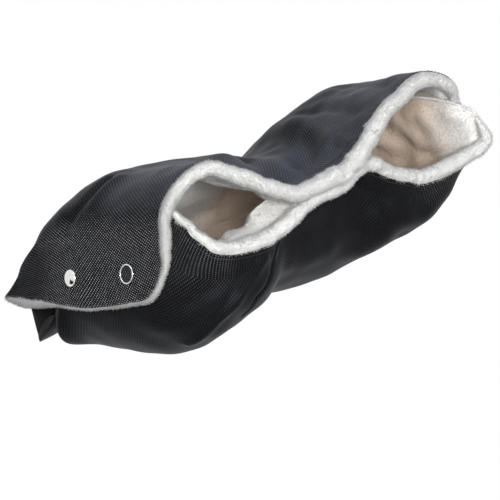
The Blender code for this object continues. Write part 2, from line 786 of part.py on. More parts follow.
def build_snaps(looks, layers):
    """Two snaps at each end. The front one shows a ring and the rear one a dome."""
    for end in ENDS:
        for number, place_name in enumerate(("front", "rear")):
            place = snap_frame(end, number)
            name = f"{end.name}_{place_name}_snap"
            turned(f"{name}_cap", cap_profile(number == 0), place, looks["chrome"])
            turned(f"{name}_socket", socket_profile(), place, looks["nickel"])
            turned(f"{name}_stud", stud_profile(), place, looks["nickel"])
            turned(f"{name}_post", post_profile(), place, looks["nickel"])
            spring_ring(f"{name}_spring", place, looks["steel"])
            hole = RIVET_RADIUS + RIVET_CLEARANCE
            for layer, depth, thickness in LAYERS:
                above, below = CUT_OVERRUN - depth, -depth - thickness - CUT_OVERRUN
                bore(layers[f"{end.name}_flap_{layer}"], place, hole, above, below)
                bore(layers[f"lower_{layer}"], place, hole, above - TAB_DEPTH, below - TAB_DEPTH)


def joint_empty(name, place):
    """An empty on a joint's axis, which carries the pieces that the joint moves."""
    empty = bpy.data.objects.new(name, None)
    empty.empty_display_size = HALF_HEIGHT / 2
    empty.location = to_world(place)
    bpy.context.scene.collection.objects.link(empty)
    return empty


def hang(piece, empty):
    """Parents a piece to an empty and leaves it where it is."""
    piece.parent = empty
    piece.matrix_parent_inverse = Matrix.Translation(empty.matrix_world.translation).inverted()


def hang_on_joints():
    """The upper half turns about the fold, and each flap, with its snaps' upper pieces, about its hinge line."""
    pieces = list(bpy.data.objects)
    fold = joint_empty("fold_joint", (0.0, HALF_DEPTH, -FOLD_DROP))
    joints = {end: joint_empty(f"{end}_flap_joint", place) for end, place in HINGE_PLACES.items()}
    bpy.context.view_layer.update()
    for piece in pieces:
        end = piece.name.split("_")[0]
        flap_piece = "_flap_" in piece.name or piece.name.endswith(("_cap", "_socket", "_spring"))
        if end in joints and flap_piece:
            hang(piece, joints[end])
        elif end in ("upper", "hook"):
            hang(piece, fold)
    for joint in joints.values():
        hang(joint, fold)


def main():
    for old in list(bpy.data.objects):
        bpy.data.objects.remove(old, do_unlink=True)
    looks = {
        "shell": material("charcoal nylon", (0.018, 0.019, 0.024), 0.45),
        "padding": material("white wadding", (0.75, 0.75, 0.73), 0.95),
        "lining": material("ivory fleece", (0.82, 0.80, 0.76), 0.95, sheen=0.4),
        "fleece_edge": material("white fleece", (0.85, 0.84, 0.81), 0.95, sheen=0.4),
        "chrome": material("polished nickel", (0.80, 0.80, 0.80), 0.15, 1.0),
        "nickel": material("plain nickel", (0.60, 0.60, 0.58), 0.3, 1.0),
        "steel": material("spring steel", (0.45, 0.45, 0.45), 0.35, 1.0),
        "hook": material("hook tape", (0.03, 0.03, 0.03), 0.7),
        "loop": material("loop tape", (0.04, 0.04, 0.04), 0.9),
    }
    layers = build_panels(looks)
    layers.update(build_flaps(looks))
    build_edges(looks)
    build_closure(looks)
    build_snaps(looks, layers)
    hang_on_joints()


main()
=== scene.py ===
# %% [markdown]
# # A stroller hand muff
# This muff is one padded sheet of nylon with a fleece lining, folded over a handlebar. The script dresses the
# measured model of it: the model's solids say where each piece is, and this file makes what the eye sees. It runs
# from the cloth's shape, through light and finishes, to folds, layers, fleece, metal and stitches.

# %% Load the measured model
import math

import bmesh
import bpy
import numpy as np
from mathutils import Matrix, Vector


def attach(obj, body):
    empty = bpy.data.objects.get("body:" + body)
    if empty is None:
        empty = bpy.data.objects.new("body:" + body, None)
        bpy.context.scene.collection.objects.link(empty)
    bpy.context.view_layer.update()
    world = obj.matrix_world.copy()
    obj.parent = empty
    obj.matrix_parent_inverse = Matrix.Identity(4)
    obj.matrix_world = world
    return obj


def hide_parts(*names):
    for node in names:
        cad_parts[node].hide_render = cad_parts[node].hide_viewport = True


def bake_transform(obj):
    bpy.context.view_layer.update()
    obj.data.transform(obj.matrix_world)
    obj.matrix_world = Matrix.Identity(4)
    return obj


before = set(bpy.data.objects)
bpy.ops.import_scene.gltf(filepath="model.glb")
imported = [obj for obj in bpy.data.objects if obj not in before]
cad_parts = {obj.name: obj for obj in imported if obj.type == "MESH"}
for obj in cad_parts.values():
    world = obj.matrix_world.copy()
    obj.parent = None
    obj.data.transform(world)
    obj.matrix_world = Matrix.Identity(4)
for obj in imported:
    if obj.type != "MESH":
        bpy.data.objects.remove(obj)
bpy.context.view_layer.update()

MM = 0.001

# %% [markdown]
# ## The cloth's own coordinates
# A padded sheet is easiest to shape if every point has an address on it. Here a column runs along the muff, from -3
# at the left hem to 3 at the right one, and a row runs from 0 at the hand side to 1 at the fold. Two smooth rules,
# one for the upper half and one for the lower, turn an address into a place. All layers, folds, stitches and snaps
# use the same two rules, so they can't drift apart. The other way, pushing vertices by hand, would have to be done
# again for each layer.

# %% Curves that pass smoothly through given values
def hermite(start, end, leave, arrive, u):
    return (
        start * (2 * u**3 - 3 * u**2 + 1)
        + leave * (u**3 - 2 * u**2 + u)
        + end * (3 * u**2 - 2 * u**3)
        + arrive * (u**3 - u**2)
    )


def smooth_through(knots, values, at):
    knots, values = np.asarray(knots, float), np.asarray(values, float)
    slopes = np.gradient(values, knots)
    at = np.clip(at, knots[0], knots[-1])
    i = np.clip(np.searchsorted(knots, at, side="right") - 1, 0, len(knots) - 2)
    step = knots[i + 1] - knots[i]
    return hermite(values[i], values[i + 1], slopes[i] * step, slopes[i + 1] * step, (at - knots[i]) / step)


def ease(u):
    u = np.clip(u, 0.0, 1.0)
    return u * u * (3 - 2 * u)


def by_row(shares, row):
    return smooth_through(np.linspace(0, 1, len(shares)), shares, row)


def stacked(along, back, up):
    return np.stack(np.broadcast_arrays(along, back, up), axis=-1).astype(float)


def size_of(steps):
    return np.linalg.norm(steps, axis=-1)


def length_of(steps):
    return np.linalg.norm(steps, axis=-1, keepdims=True)


print("at half way between 1 and 3:", float(smooth_through((0, 1), (1, 3), np.array(0.5))))

# %% Sizes of the folded sheet, the same as in the measured model
HALF_LENGTH, HALF_DEPTH, HALF_HEIGHT = 230 * MM, 115 * MM, 85 * MM
HANDLE_RAKE, FLAP_LEAN = math.radians(17), math.radians(17.6)
SHELL, PADDING, LINING, LAYER_GAP = 0.9 * MM, 4.0 * MM, 4.8 * MM, 0.3 * MM
SHEET = SHELL + PADDING + LINING + 2 * LAYER_GAP
TAB_DEPTH = SHEET + 5.4 * MM
FOLD_DROP = 20 * MM
UPPER_FOLD, LOWER_FOLD = LAYER_GAP / 2 - FOLD_DROP, -LAYER_GAP / 2 - FOLD_DROP
LIP_BAND, BAND_SHARE = 22 * MM, 0.1
FLAP_ROW_END = 0.92
UPPER_ROUND, LOWER_ROUND = 1.85, 2.3

# Shares of HALF_LENGTH along the muff, and at each the shares of HALF_HEIGHT.
STATIONS = (-0.565, -0.435, -0.304, -0.152, 0.0, 0.152, 0.304, 0.435, 0.609)
UPPER_EDGE = (1.140, 0.950, 0.725, 0.548, 0.543, 0.568, 0.800, 1.020, 1.200)
CREST = (1.094, 1.047, 0.988, 0.920, 0.800, 0.680, 0.750, 0.935, 1.070)
LOWER_EDGE = (0.088, 0.035, 0.047, 0.200, 0.253, 0.270, 0.329, 0.165, -0.035)
BELLY = (-1.000, -0.915, -0.825, -0.820, -0.894, -0.929, -0.935, -0.900, -0.820)
LIP_UPRIGHT = (1.0, 1.0, 0.75, 0.15, 0.04, 0.06, 0.35, 0.9, 1.0)

# Each table runs from the hand side to the fold, in shares of HALF_DEPTH (back) or HALF_HEIGHT.
LEFT = dict(
    side=-1, body=-0.565, hinge_reach=205.5 * MM, hinge_height=60 * MM, setback=6 * MM,
    fold_reach=195 * MM, exit_reach=203 * MM,
    hem_back=(-1.000, -0.852, -0.539, -0.261, 0.0, 0.409, 0.722, 0.957, 1.017),
    hem_height=(0.280, -0.020, -0.105, -0.150, -0.170, -0.135, -0.115, -0.110, -0.235),
    tab_back=(-0.925, -0.755, -0.539, -0.261, 0.0, 0.400, 0.620, 0.950, 1.0),
    tab_height=(0.740, 0.670, 0.580, 0.500, 0.471, 0.300, -0.330, -0.720, -0.237),
    tab_wall=(0.22, 0.44, 0.66, 0.66, 0.66, 0.52, 0.20, 0.06, 0.05),
    tab_flare=(0.0,) * 9,
    snaps=((-0.580, 0.205), (0.137, 0.140)),
)
RIGHT = dict(
    side=1, body=0.609, hinge_reach=227 * MM, hinge_height=74 * MM, setback=0.0,
    fold_reach=219 * MM, exit_reach=227 * MM,
    hem_back=(-0.800, -0.700, -0.520, -0.261, 0.0, 0.409, 0.722, 0.957, 1.017),
    hem_height=(0.200, -0.050, -0.105, -0.150, -0.160, -0.135, -0.115, -0.110, -0.235),
    tab_back=(-1.130, -0.930, -0.600, -0.300, 0.0, 0.400, 0.620, 0.950, 1.0),
    tab_height=(0.590, 0.760, 0.850, 0.830, 0.730, 0.300, -0.330, -0.600, -0.237),
    tab_wall=(0.30, 0.50, 0.70, 0.75, 0.72, 0.40, 0.12, 0.06, 0.05),
    tab_flare=(0.09, 0.02, 0.0, 0.0, 0.0, 0.0, 0.0, 0.0, 0.0),
    snaps=((-0.600, 0.500), (0.117, 0.440)),
)
ENDS = {"left": LEFT, "right": RIGHT}
print("sheet thickness, mm:", round(SHEET / MM, 1))


# %% Sections of the body, across the muff
def height_at(shares, along):
    return HALF_HEIGHT * smooth_through(STATIONS, shares, along / HALF_LENGTH)


def superellipse(turn, roundness):
    power = 2 / roundness
    return np.maximum(np.sin(turn), 0.0) ** power, np.maximum(np.cos(turn), 0.0) ** power


def upper_section(along, row):
    edge, crest = height_at(UPPER_EDGE, along), height_at(CREST, along)
    out, up = superellipse(np.clip(row - 0.5, 0, 0.5) * math.pi, UPPER_ROUND)
    front = row <= 0.5
    back = np.where(front, -HALF_DEPTH * (1 - 2 * row), HALF_DEPTH * out)
    height = np.where(front, edge + (crest - edge) * ease(2 * row), UPPER_FOLD + (crest - UPPER_FOLD) * up)
    return stacked(along, back, height)


def lower_section(along, row):
    """A short band down from the lip, a quarter turn to the belly, and another one up to the fold."""
    edge, belly = height_at(LOWER_EDGE, along), height_at(BELLY, along)
    upright = smooth_through(STATIONS, LIP_UPRIGHT, along / HALF_LENGTH) * math.pi / 2
    start_back = -HALF_DEPTH + LIP_BAND * np.cos(upright)
    start_up = edge - LIP_BAND * np.sin(upright)
    down = row / BAND_SHARE
    band = stacked(along, -HALF_DEPTH + (start_back + HALF_DEPTH) * down, edge + (start_up - edge) * down)
    quarter = np.clip((row - BAND_SHARE) / (0.5 - BAND_SHARE), 0, 1) * math.pi / 2
    drop, front = superellipse(quarter, LOWER_ROUND)
    belly_part = stacked(along, start_back * front, start_up + (belly - start_up) * drop)
    out, low = superellipse(np.clip(row - 0.5, 0, 0.5) * math.pi, LOWER_ROUND)
    rear = stacked(along, HALF_DEPTH * out, LOWER_FOLD + (belly - LOWER_FOLD) * low)
    row = np.broadcast_to(row, band.shape[:-1])[..., None]
    return np.where(row <= BAND_SHARE, band, np.where(row <= 0.5, belly_part, rear))


# %% The ends: where the sheet turns down to the flap's hinge, and up to the tab
def flap_plane(end, height, depth=0.0):
    lean = (end["hinge_height"] - height) * math.tan(FLAP_LEAN)
    return end["side"] * (end["hinge_reach"] + lean - depth / math.cos(FLAP_LEAN))


def drawn_to_fold(end, along, row, past=0.0):
    """By the fold, the flap leaves its plane and reaches as far as the fold does."""
    off = ease((row - 0.84) / 0.16)
    return along * (1 - off) + end["side"] * (end["fold_reach"] + past) * off


def hinge_point(end, row):
    start = end["body"] * HALF_LENGTH
    section = upper_section(start, row)
    crest = upper_section(start, np.array(0.5))[2]
    fall = np.clip((section[..., 2] - UPPER_FOLD) / (crest - UPPER_FOLD), 0, None) ** 0.9
    up = np.where(row > 0.5, UPPER_FOLD + (end["hinge_height"] - UPPER_FOLD) * fall, end["hinge_height"])
    back = section[..., 1] + end["setback"] * (1 - ease(row / 0.3))
    return stacked(drawn_to_fold(end, flap_plane(end, up), row), back, up)


def hem_point(end, row):
    up = HALF_HEIGHT * by_row(end["hem_height"], row)
    return stacked(drawn_to_fold(end, flap_plane(end, up), row, SHEET), HALF_DEPTH * by_row(end["hem_back"], row), up)


def slope_at(section, end, row):
    along = end["body"] * HALF_LENGTH
    return (section(along, row) - section(along - end["side"] * LAYER_GAP, row)) / LAYER_GAP


def turn_then_wall(start, foot, leave, arrive, wall, reach):
    """A smooth turn from the body to the wall's foot, and then the straight wall."""
    turn = hermite(start, foot, leave, arrive, reach[..., None] - 1)
    return np.where(reach[..., None] <= 2, turn, foot + wall * (reach[..., None] - 2))


def upper_end(end, reach, row):
    start, hinge, hem = upper_section(end["body"] * HALF_LENGTH, row), hinge_point(end, row), hem_point(end, row)
    leave = slope_at(upper_section, end, row) * np.abs(hinge[..., :1] - start[..., :1]) * 1.15
    arrive = (hem - hinge) / length_of(hem - hinge) * length_of(hinge - start) * 0.75
    return turn_then_wall(start, hinge, leave, arrive, hem - hinge, reach)


def lower_end(end, reach, row):
    up = HALF_HEIGHT * by_row(end["tab_height"], row)
    flare = HALF_DEPTH * by_row(end["tab_flare"], row)
    off = ease((row - 0.6) / 0.2)
    along = flap_plane(end, up, TAB_DEPTH) + end["side"] * flare
    along = along * (1 - off) + end["side"] * end["exit_reach"] * off
    top = stacked(along, HALF_DEPTH * by_row(end["tab_back"], row), np.where(row >= 1, LOWER_FOLD, up))
    outward = ease((row - 0.72) / 0.13)[..., None]
    lean = np.array([-end["side"] * math.sin(FLAP_LEAN), 0.0, math.cos(FLAP_LEAN)])
    way = lean * (1 - outward) + np.array([end["side"], 0.0, 0.0]) * outward
    way = way / length_of(way)
    wall = HALF_HEIGHT * by_row(end["tab_wall"], row)[..., None]
    foot = top - way * wall
    start = lower_section(end["body"] * HALF_LENGTH, row)
    behind = ease(row / 0.3)[..., None]
    leave = slope_at(lower_section, end, row) * np.abs(foot[..., :1] - start[..., :1]) * (0.7 + 0.7 * behind)
    arrive = way * length_of(foot - start) * (0.9 + 0.1 * behind)
    return turn_then_wall(start, foot, leave, arrive, way * wall, reach)


# %% The two rules: an address on the sheet becomes a place
TIP_PULL, CORNER_PULL = np.array([-6, 9, 2]) * MM, 9 * MM
SLANT = (-3.0, -2.6, -2.3, -2.0, -1.7, -1.4, -1.0), (4, 9, 16, 23, 26, 11, 0)


def half_surface(section, end_rule, column, row):
    column, row = np.broadcast_arrays(np.asarray(column, float), np.asarray(row, float))
    reach = np.abs(column)
    body_end = np.where(column < 0, LEFT["body"], RIGHT["body"]) * HALF_LENGTH
    body = section(body_end * np.minimum(reach, 1), row)
    left, right = (end_rule(end, np.maximum(reach, 1), row) for end in (LEFT, RIGHT))
    ends = np.where((column < 0)[..., None], left, right)
    return np.where((reach <= 1)[..., None], body, ends)


def upper_surface(column, row):
    """Past the hinge the flap's rear edge draws in, which leaves the handle's arm its way out."""
    column, row = np.asarray(column), np.asarray(row)
    draw_in = (1 - FLAP_ROW_END) * ease((np.abs(column) - 2) / 0.35)
    points = half_surface(upper_section, upper_end, column, row * (1 - draw_in))
    tip = ease((-2.0 - column) / 1.0) * np.clip((row - 0.55) / 0.45, 0, 1) ** 1.5
    return points + tip[..., None] * TIP_PULL


def lower_surface(column, row):
    """The left tab's front edge slants in to the body, and the exit's lower corner is drawn out."""
    column, row = np.asarray(column), np.asarray(row)
    points = half_surface(lower_section, lower_end, column, row)
    slant = smooth_through(*SLANT, column) * MM * (1 - ease(row / 0.2))
    corner = CORNER_PULL * ease(-2 - column) * np.exp(-(((row - 0.825) / 0.05) ** 2))
    return points + stacked(slant - corner, 0.0, 0.0)


def to_world(points):
    along, back, up = points[..., 0], points[..., 1], points[..., 2]
    cosine, sine = math.cos(HANDLE_RAKE), math.sin(HANDLE_RAKE)
    return np.stack([along, back * cosine + up * sine, up * cosine - back * sine], axis=-1)


def snap_axes(end, number):
    """The middle of the cap on the flap's face, and the axes along it: side, up and out."""
    back, up = (share * half for share, half in zip(end["snaps"][number], (HALF_DEPTH, HALF_HEIGHT)))
    foot = to_world(np.array([flap_plane(end, up), back, up]))
    out = to_world(np.array([end["side"] * math.cos(FLAP_LEAN), 0.0, math.sin(FLAP_LEAN)]))
    side = to_world(np.array([0.0, 1.0, 0.0]))
    return foot, side, np.cross(out, side), out


print("hand edge above the closure, mm:", (to_world(upper_surface(0.0, 0.0)) / MM).round(1))

# %% [markdown]
# ## Stage, light and camera
# A dark cloth shows its folds only by what it mirrors, so it needs large, soft lamps. The two strong ones stand near
# the camera and in front, and reach into the hand openings. A weak, cool one stands overhead. The top's bluish shine
# is painted into the nylon's colour as a sky sheen, over a faint real sheen. The floor and the sky look white to the
# camera alone. To everything else they are dim, so that the underside stays dark as it does on the real muff. A black
# card, which the camera doesn't see, gives the dome its dark crescent.

# %% Camera at the photograph's place
AZIMUTH, ELEVATION, DISTANCE = math.radians(-46.5), math.radians(25.0), 2.0
FOCAL_PIXELS, PICTURE, MIDDLE = 1970.0, 500, (246, 221)
SENSOR = 36


def in_scene(name, data):
    made = bpy.data.objects.new(name, data)
    bpy.context.scene.collection.objects.link(made)
    return made


def new_mesh(name, points, faces, edges=()):
    mesh = bpy.data.meshes.new(name)
    mesh.from_pydata(points, edges, faces)
    return mesh


turn_sin, turn_cos = math.sin(AZIMUTH), math.cos(AZIMUTH)
rise_sin, rise_cos = math.sin(ELEVATION), math.cos(ELEVATION)
right = np.array([turn_cos, turn_sin, 0.0])
upward = np.array([-turn_sin * rise_sin, turn_cos * rise_sin, rise_cos])
backward = np.array([turn_sin * rise_cos, -turn_cos * rise_cos, rise_sin])
shift_right, shift_down = ((middle - PICTURE / 2) * DISTANCE / FOCAL_PIXELS for middle in MIDDLE)
eye = backward * DISTANCE - right * shift_right + upward * shift_down

lens = bpy.data.cameras.new("camera")
lens.sensor_width, lens.lens = SENSOR, SENSOR * FOCAL_PIXELS / PICTURE
camera = in_scene("camera", lens)
camera.matrix_world = Matrix([[right[i], upward[i], backward[i], eye[i]] for i in range(3)] + [[0, 0, 0, 1]])
bpy.context.scene.camera = camera
print("camera at", eye.round(3), "lens", round(lens.lens, 1))

# %% A short way to write node trees
def feed(tree, socket, value):
    """Links the socket, where the value is another socket, or else sets it."""
    if isinstance(value, bpy.types.NodeSocket):
        tree.links.new(value, socket)
    else:
        socket.default_value = value


def add_node(tree, kind, sockets=None, **settings):
    made = tree.nodes.new(kind)
    for name, value in settings.items():
        setattr(made, name, value)
    for name, value in (sockets or {}).items():
        feed(tree, made.inputs[name], value)
    return made


def calculate(tree, operation, first, second=0.0):
    return add_node(tree, "ShaderNodeMath", {0: first, 1: second}, operation=operation).outputs[0]


def remap(tree, value, low, high, to_low=0.0, to_high=1.0, **settings):
    sockets = {"Value": value, "From Min": low, "From Max": high, "To Min": to_low, "To Max": to_high}
    return add_node(tree, "ShaderNodeMapRange", sockets, **settings).outputs[0]


def blend_colours(tree, share, first, second, mode="MIX"):
    sockets = {0: share, 6: first, 7: second}
    return add_node(tree, "ShaderNodeMix", sockets, data_type="RGBA", blend_type=mode).outputs[2]


def attribute(tree, name):
    return add_node(tree, "ShaderNodeAttribute", attribute_name=name).outputs["Fac"]


def grey(level, blue=None):
    return (level, level, level if blue is None else blue, 1)


def seen_or_not(tree, unseen, seen):
    """One shader for what the camera sees, straight, mirrored or through glass, and one for all other light."""
    rays = add_node(tree, "ShaderNodeLightPath").outputs
    share = calculate(tree, "MAXIMUM", rays["Is Camera Ray"], rays["Is Glossy Ray"])
    share = calculate(tree, "MAXIMUM", share, rays["Is Transmission Ray"])
    return add_node(tree, "ShaderNodeMixShader", {0: share, 1: unseen, 2: seen}).outputs[0]


def start_material(name):
    made = bpy.data.materials.new(name)
    made.use_nodes = True
    return made, made.node_tree, made.node_tree.nodes["Principled BSDF"]


def set_shader(tree, shader, **values):
    for name, value in values.items():
        feed(tree, shader.inputs[name.replace("_", " ")], value)


# %% Sky, lamps, floor and card
SKY_STRENGTH, FLOOR_GLOW, FLOOR_MIX = 0.36, 1.025, 0.97
FLOOR_HEIGHT, FLOOR_REACH = -0.5, 6.0
CARD_PLACE, CARD_BACK, CARD_HEIGHT = -1.25, (-0.2, 0.85), (-0.49, -0.02)
COOL, NEUTRAL = (0.94, 0.97, 1.0), (1.0, 0.99, 0.97)
# Each lamp's name, place, width in metres, power in watts and colour. All of them aim at the muff's middle.
LAMPS = (
    ("overhead lamp", (-0.2, 0.0, 1.6), 0.9, 4.5, COOL),
    ("left lamp", (-1.6, -0.3, 0.8), 0.7, 0.7, NEUTRAL),
    ("camera lamp", (-1.25, -1.35, 0.92), 0.6, 30, NEUTRAL),
    ("front lamp", (-0.45, -1.9, 0.85), 0.8, 22, NEUTRAL),
)

sky = bpy.data.worlds.new("studio")
bpy.context.scene.world = sky
sky.use_nodes = True
tree = sky.node_tree
tree.nodes.clear()
way = add_node(tree, "ShaderNodeTexCoord").outputs["Generated"]
height = add_node(tree, "ShaderNodeSeparateXYZ", {0: way}).outputs["Z"]
glow = blend_colours(tree, remap(tree, height, -0.25, 0.4), grey(0.26, 0.27), (0.86, 0.90, 1.0, 1))
room = add_node(tree, "ShaderNodeBackground", {"Color": glow, "Strength": SKY_STRENGTH}).outputs[0]
white = add_node(tree, "ShaderNodeBackground", {"Color": grey(1), "Strength": 1.0}).outputs[0]
add_node(tree, "ShaderNodeOutputWorld", {"Surface": seen_or_not(tree, room, white)})
bpy.context.scene.view_settings.view_transform = "Standard"

for name, place, size, power, tint in LAMPS:
    lamp = bpy.data.lights.new(name, "AREA")
    lamp.shape, lamp.size, lamp.energy, lamp.color = "DISK", size, power, tint
    lamp = in_scene(name, lamp)
    lamp.location, lamp.rotation_mode = place, "QUATERNION"
    lamp.rotation_quaternion = (-Vector(place)).to_track_quat("-Z", "Y")


def staged_plane(name, corners, finish):
    plane = in_scene(name, new_mesh(name, corners, [(0, 1, 2, 3)]))
    plane.data.materials.append(finish)
    return plane


paint = bpy.data.materials.new("pale floor")
paint.use_nodes = True
tree = paint.node_tree
tree.nodes.clear()
matt = add_node(tree, "ShaderNodeBsdfDiffuse", {"Color": grey(0.30, 0.31)}).outputs[0]
bright = add_node(tree, "ShaderNodeEmission", {"Color": grey(1), "Strength": FLOOR_GLOW}).outputs[0]
for_camera = add_node(tree, "ShaderNodeMixShader", {0: FLOOR_MIX, 1: matt, 2: bright}).outputs[0]
add_node(tree, "ShaderNodeOutputMaterial", {"Surface": seen_or_not(tree, matt, for_camera)})
corners = [(x * FLOOR_REACH, y * FLOOR_REACH, FLOOR_HEIGHT) for x, y in ((-1, -1), (1, -1), (1, 1), (-1, 1))]
staged_plane("floor", corners, paint)

black, tree, shader = start_material("black card")
set_shader(tree, shader, Base_Color=grey(0.004), Roughness=0.9, Specular_IOR_Level=0.0)
(near, far), (low, high) = CARD_BACK, CARD_HEIGHT
corners = [(CARD_PLACE, near, low), (CARD_PLACE, far, low), (CARD_PLACE, far, high), (CARD_PLACE, near, high)]
staged_plane("black card", corners, black).visible_camera = False
print("floor", -FLOOR_HEIGHT, "m below the handlebar's middle")

# %% [markdown]
# ## Finishes
# Each material is built from nodes. The nylon is a coarse woven cloth: its yarn crossings stand up as small knots
# in offset rows, and each catches the light. The knots are also painted pale as glints, most on the flaps, and the
# top is painted with a cool sky sheen. The pattern follows the cloth through a UV map that is measured in metres, so
# a knot has the same size everywhere. Fleece is a matt white pile with a soft sheen. Its fibres are real shapes. The
# material adds fine unevenness, painted shade further inside and on the left trim, and dark painted shade where the
# handle's arm slides through. Metal is smooth with faint rubbing marks.

# %% Woven nylon
def object_noise(tree, scale, detail=2.0, roughness=0.5):
    place = add_node(tree, "ShaderNodeTexCoord").outputs["Object"]
    sockets = {"Vector": place, "Scale": scale, "Detail": detail, "Roughness": roughness}
    return add_node(tree, "ShaderNodeTexNoise", sockets).outputs["Fac"]


def bump(tree, height, distance, strength=1.0, below=None):
    sockets = {"Strength": strength, "Distance": distance, "Height": height}
    if below is not None:
        sockets["Normal"] = below
    return add_node(tree, "ShaderNodeBump", sockets).outputs[0]


WEAVE_PITCH, WEFT_STRETCH = 3.2 * MM, 1.2
nylon, tree, shader = start_material("woven nylon")
cloth_map = add_node(tree, "ShaderNodeUVMap", uv_map="cloth").outputs[0]
along = add_node(tree, "ShaderNodeSeparateXYZ", {0: cloth_map}).outputs
warp, weft = (
    calculate(tree, "COSINE", calculate(tree, "MULTIPLY", place, math.tau / pitch))
    for place, pitch in ((along[0], WEAVE_PITCH), (along[1], WEAVE_PITCH * WEFT_STRETCH))
)
knot = remap(tree, calculate(tree, "MULTIPLY", warp, weft), 0.32, 0.95, interpolation_type="SMOOTHSTEP")
slub, patchy = object_noise(tree, 260.0, 2.0), object_noise(tree, 22.0, 3.0)
strength = calculate(tree, "MULTIPLY", knot, remap(tree, slub, 0.3, 0.7, 0.45, 1.25))
# Painted glint: the knots are painted pale grey in the base colour, as strongly as the glint mask says.
glint = attribute(tree, "glint")
dark = blend_colours(tree, patchy, (0.0020, 0.0020, 0.0025, 1), (0.0042, 0.0043, 0.0050, 1))
# Painted sky sheen: the nylon is painted a lighter, bluish grey where its folds face up, in place of the top light.
dark = blend_colours(tree, attribute(tree, "faded"), dark, (0.033, 0.036, 0.046, 1))
knot_height = calculate(tree, "MULTIPLY", knot, calculate(tree, "ADD", 0.2, glint))
set_shader(
    tree, shader,
    Base_Color=blend_colours(tree, calculate(tree, "MULTIPLY", strength, glint), dark, (0.50, 0.505, 0.515, 1)),
    Roughness=0.45, Specular_IOR_Level=0.06, Specular_Tint=(0.75, 0.85, 1.0, 1),
    Sheen_Weight=0.02, Sheen_Roughness=0.35, Sheen_Tint=(0.40, 0.50, 1.0, 1),
    Normal=bump(tree, knot_height, 0.4 * MM, 0.8, below=bump(tree, slub, 0.15 * MM, 0.4)),
)
print("nylon knots every", WEAVE_PITCH / MM, "mm")

# %% Fleece, wadding and thread
# Painted shade: where the handle's arm leaves each end, the lining and wadding are painted nearly black.
EXIT_SHADE_COLOUR = grey(0.010, 0.012)
# Two of these colours are painted shade: the greyer pile for the left trim, and the warm beige deep in the lining.
PILE, TRIM_SHADE, WHITE, INNER_SHADE = grey(0.74, 0.73), grey(0.52, 0.51), (0.84, 0.83, 0.81, 1), (0.68, 0.555, 0.455, 1)


def fleece_material(name, bright, shaded, mottle):
    """A pile that is painted darker where shade falls, as its mask says, and nearly black with painted shade where the
    handle's arm slides through.
    """
    made, tree, shader = start_material(name)
    warm = blend_colours(tree, attribute(tree, "warmth"), bright, shaded)
    base = blend_colours(tree, attribute(tree, "faced"), warm, EXIT_SHADE_COLOUR)
    clumps = object_noise(tree, 420.0, 3.0)
    shade = remap(tree, clumps, 0.35, 0.65, 1 - mottle, 1.0)
    shade = add_node(tree, "ShaderNodeCombineColor", {0: shade, 1: shade, 2: shade}).outputs[0]
    fine = bump(tree, object_noise(tree, 1500.0, 2.0), 0.3 * MM, 0.6)
    set_shader(
        tree, shader,
        Base_Color=blend_colours(tree, 1.0, base, shade, "MULTIPLY"),
        Roughness=0.95, Specular_IOR_Level=0.15, Sheen_Weight=0.08, Sheen_Roughness=0.6,
        Normal=bump(tree, clumps, 0.9 * MM, 0.8, below=fine),
    )
    return made


# The pile of the lips and trims, painted greyer with shade on the left trim.
lip_fleece = fleece_material("white fleece pile", PILE, TRIM_SHADE, mottle=0.12)
lining_fleece = fleece_material("ivory fleece lining", WHITE, INNER_SHADE, mottle=0.14)

wadding, tree, shader = start_material("white wadding")
fibre = object_noise(tree, 300.0, 6.0, 0.7)
fluff = blend_colours(tree, fibre, grey(0.72, 0.70), grey(0.86, 0.84))
# The wadding's rim by the exits gets the same painted shade.
fluff = blend_colours(tree, attribute(tree, "faced"), fluff, EXIT_SHADE_COLOUR)
set_shader(tree, shader, Base_Color=fluff, Roughness=0.95, Normal=bump(tree, fibre, 1.0 * MM, 0.8))

thread, tree, shader = start_material("black thread")
twist = object_noise(tree, 2500.0, 1.0)
yarn = blend_colours(tree, twist, grey(0.012, 0.014), grey(0.05, 0.055))
set_shader(tree, shader, Base_Color=yarn, Roughness=0.55, Normal=bump(tree, twist, 0.1 * MM, 0.5))
print("fleece, wadding and thread mixed")

# %% Metals and closure tapes
def metal_material(name, colour, smooth, dulled, scale, tarnish=0.82):
    made, tree, shader = start_material(name)
    marks = object_noise(tree, scale, 4.0, 0.7)
    dull = tuple(channel * tarnish for channel in colour)
    set_shader(
        tree, shader, Metallic=1.0, Roughness=remap(tree, marks, 0.35, 0.7, smooth, dulled),
        Base_Color=blend_colours(tree, marks, (*dull, 1), (*colour, 1)),
        Normal=bump(tree, marks, 0.03 * MM, 0.15),
    )
    return made


def tape_material(name, low, high, scale):
    made, tree, shader = start_material(name)
    tufty = object_noise(tree, scale, 3.0, 0.6)
    tufts = blend_colours(tree, tufty, low, high)
    relief = bump(tree, tufty, 0.3 * MM, 0.7)
    set_shader(tree, shader, Base_Color=tufts, Roughness=0.85, Sheen_Weight=0.1, Normal=relief)
    return made


polished = metal_material("polished nickel", (0.86, 0.85, 0.83), smooth=0.08, dulled=0.22, scale=700.0)
plain_nickel = metal_material("plain nickel", (0.62, 0.61, 0.58), smooth=0.24, dulled=0.42, scale=900.0)
spring_steel = metal_material("spring steel", (0.45, 0.45, 0.46), smooth=0.28, dulled=0.5, scale=1500.0)
hook_look = tape_material("hook tape", grey(0.016, 0.018), grey(0.05, 0.055), scale=1200.0)
loop_look = tape_material("loop tape", grey(0.020, 0.022), grey(0.075, 0.08), scale=700.0)
print(len(bpy.data.materials), "materials so far")

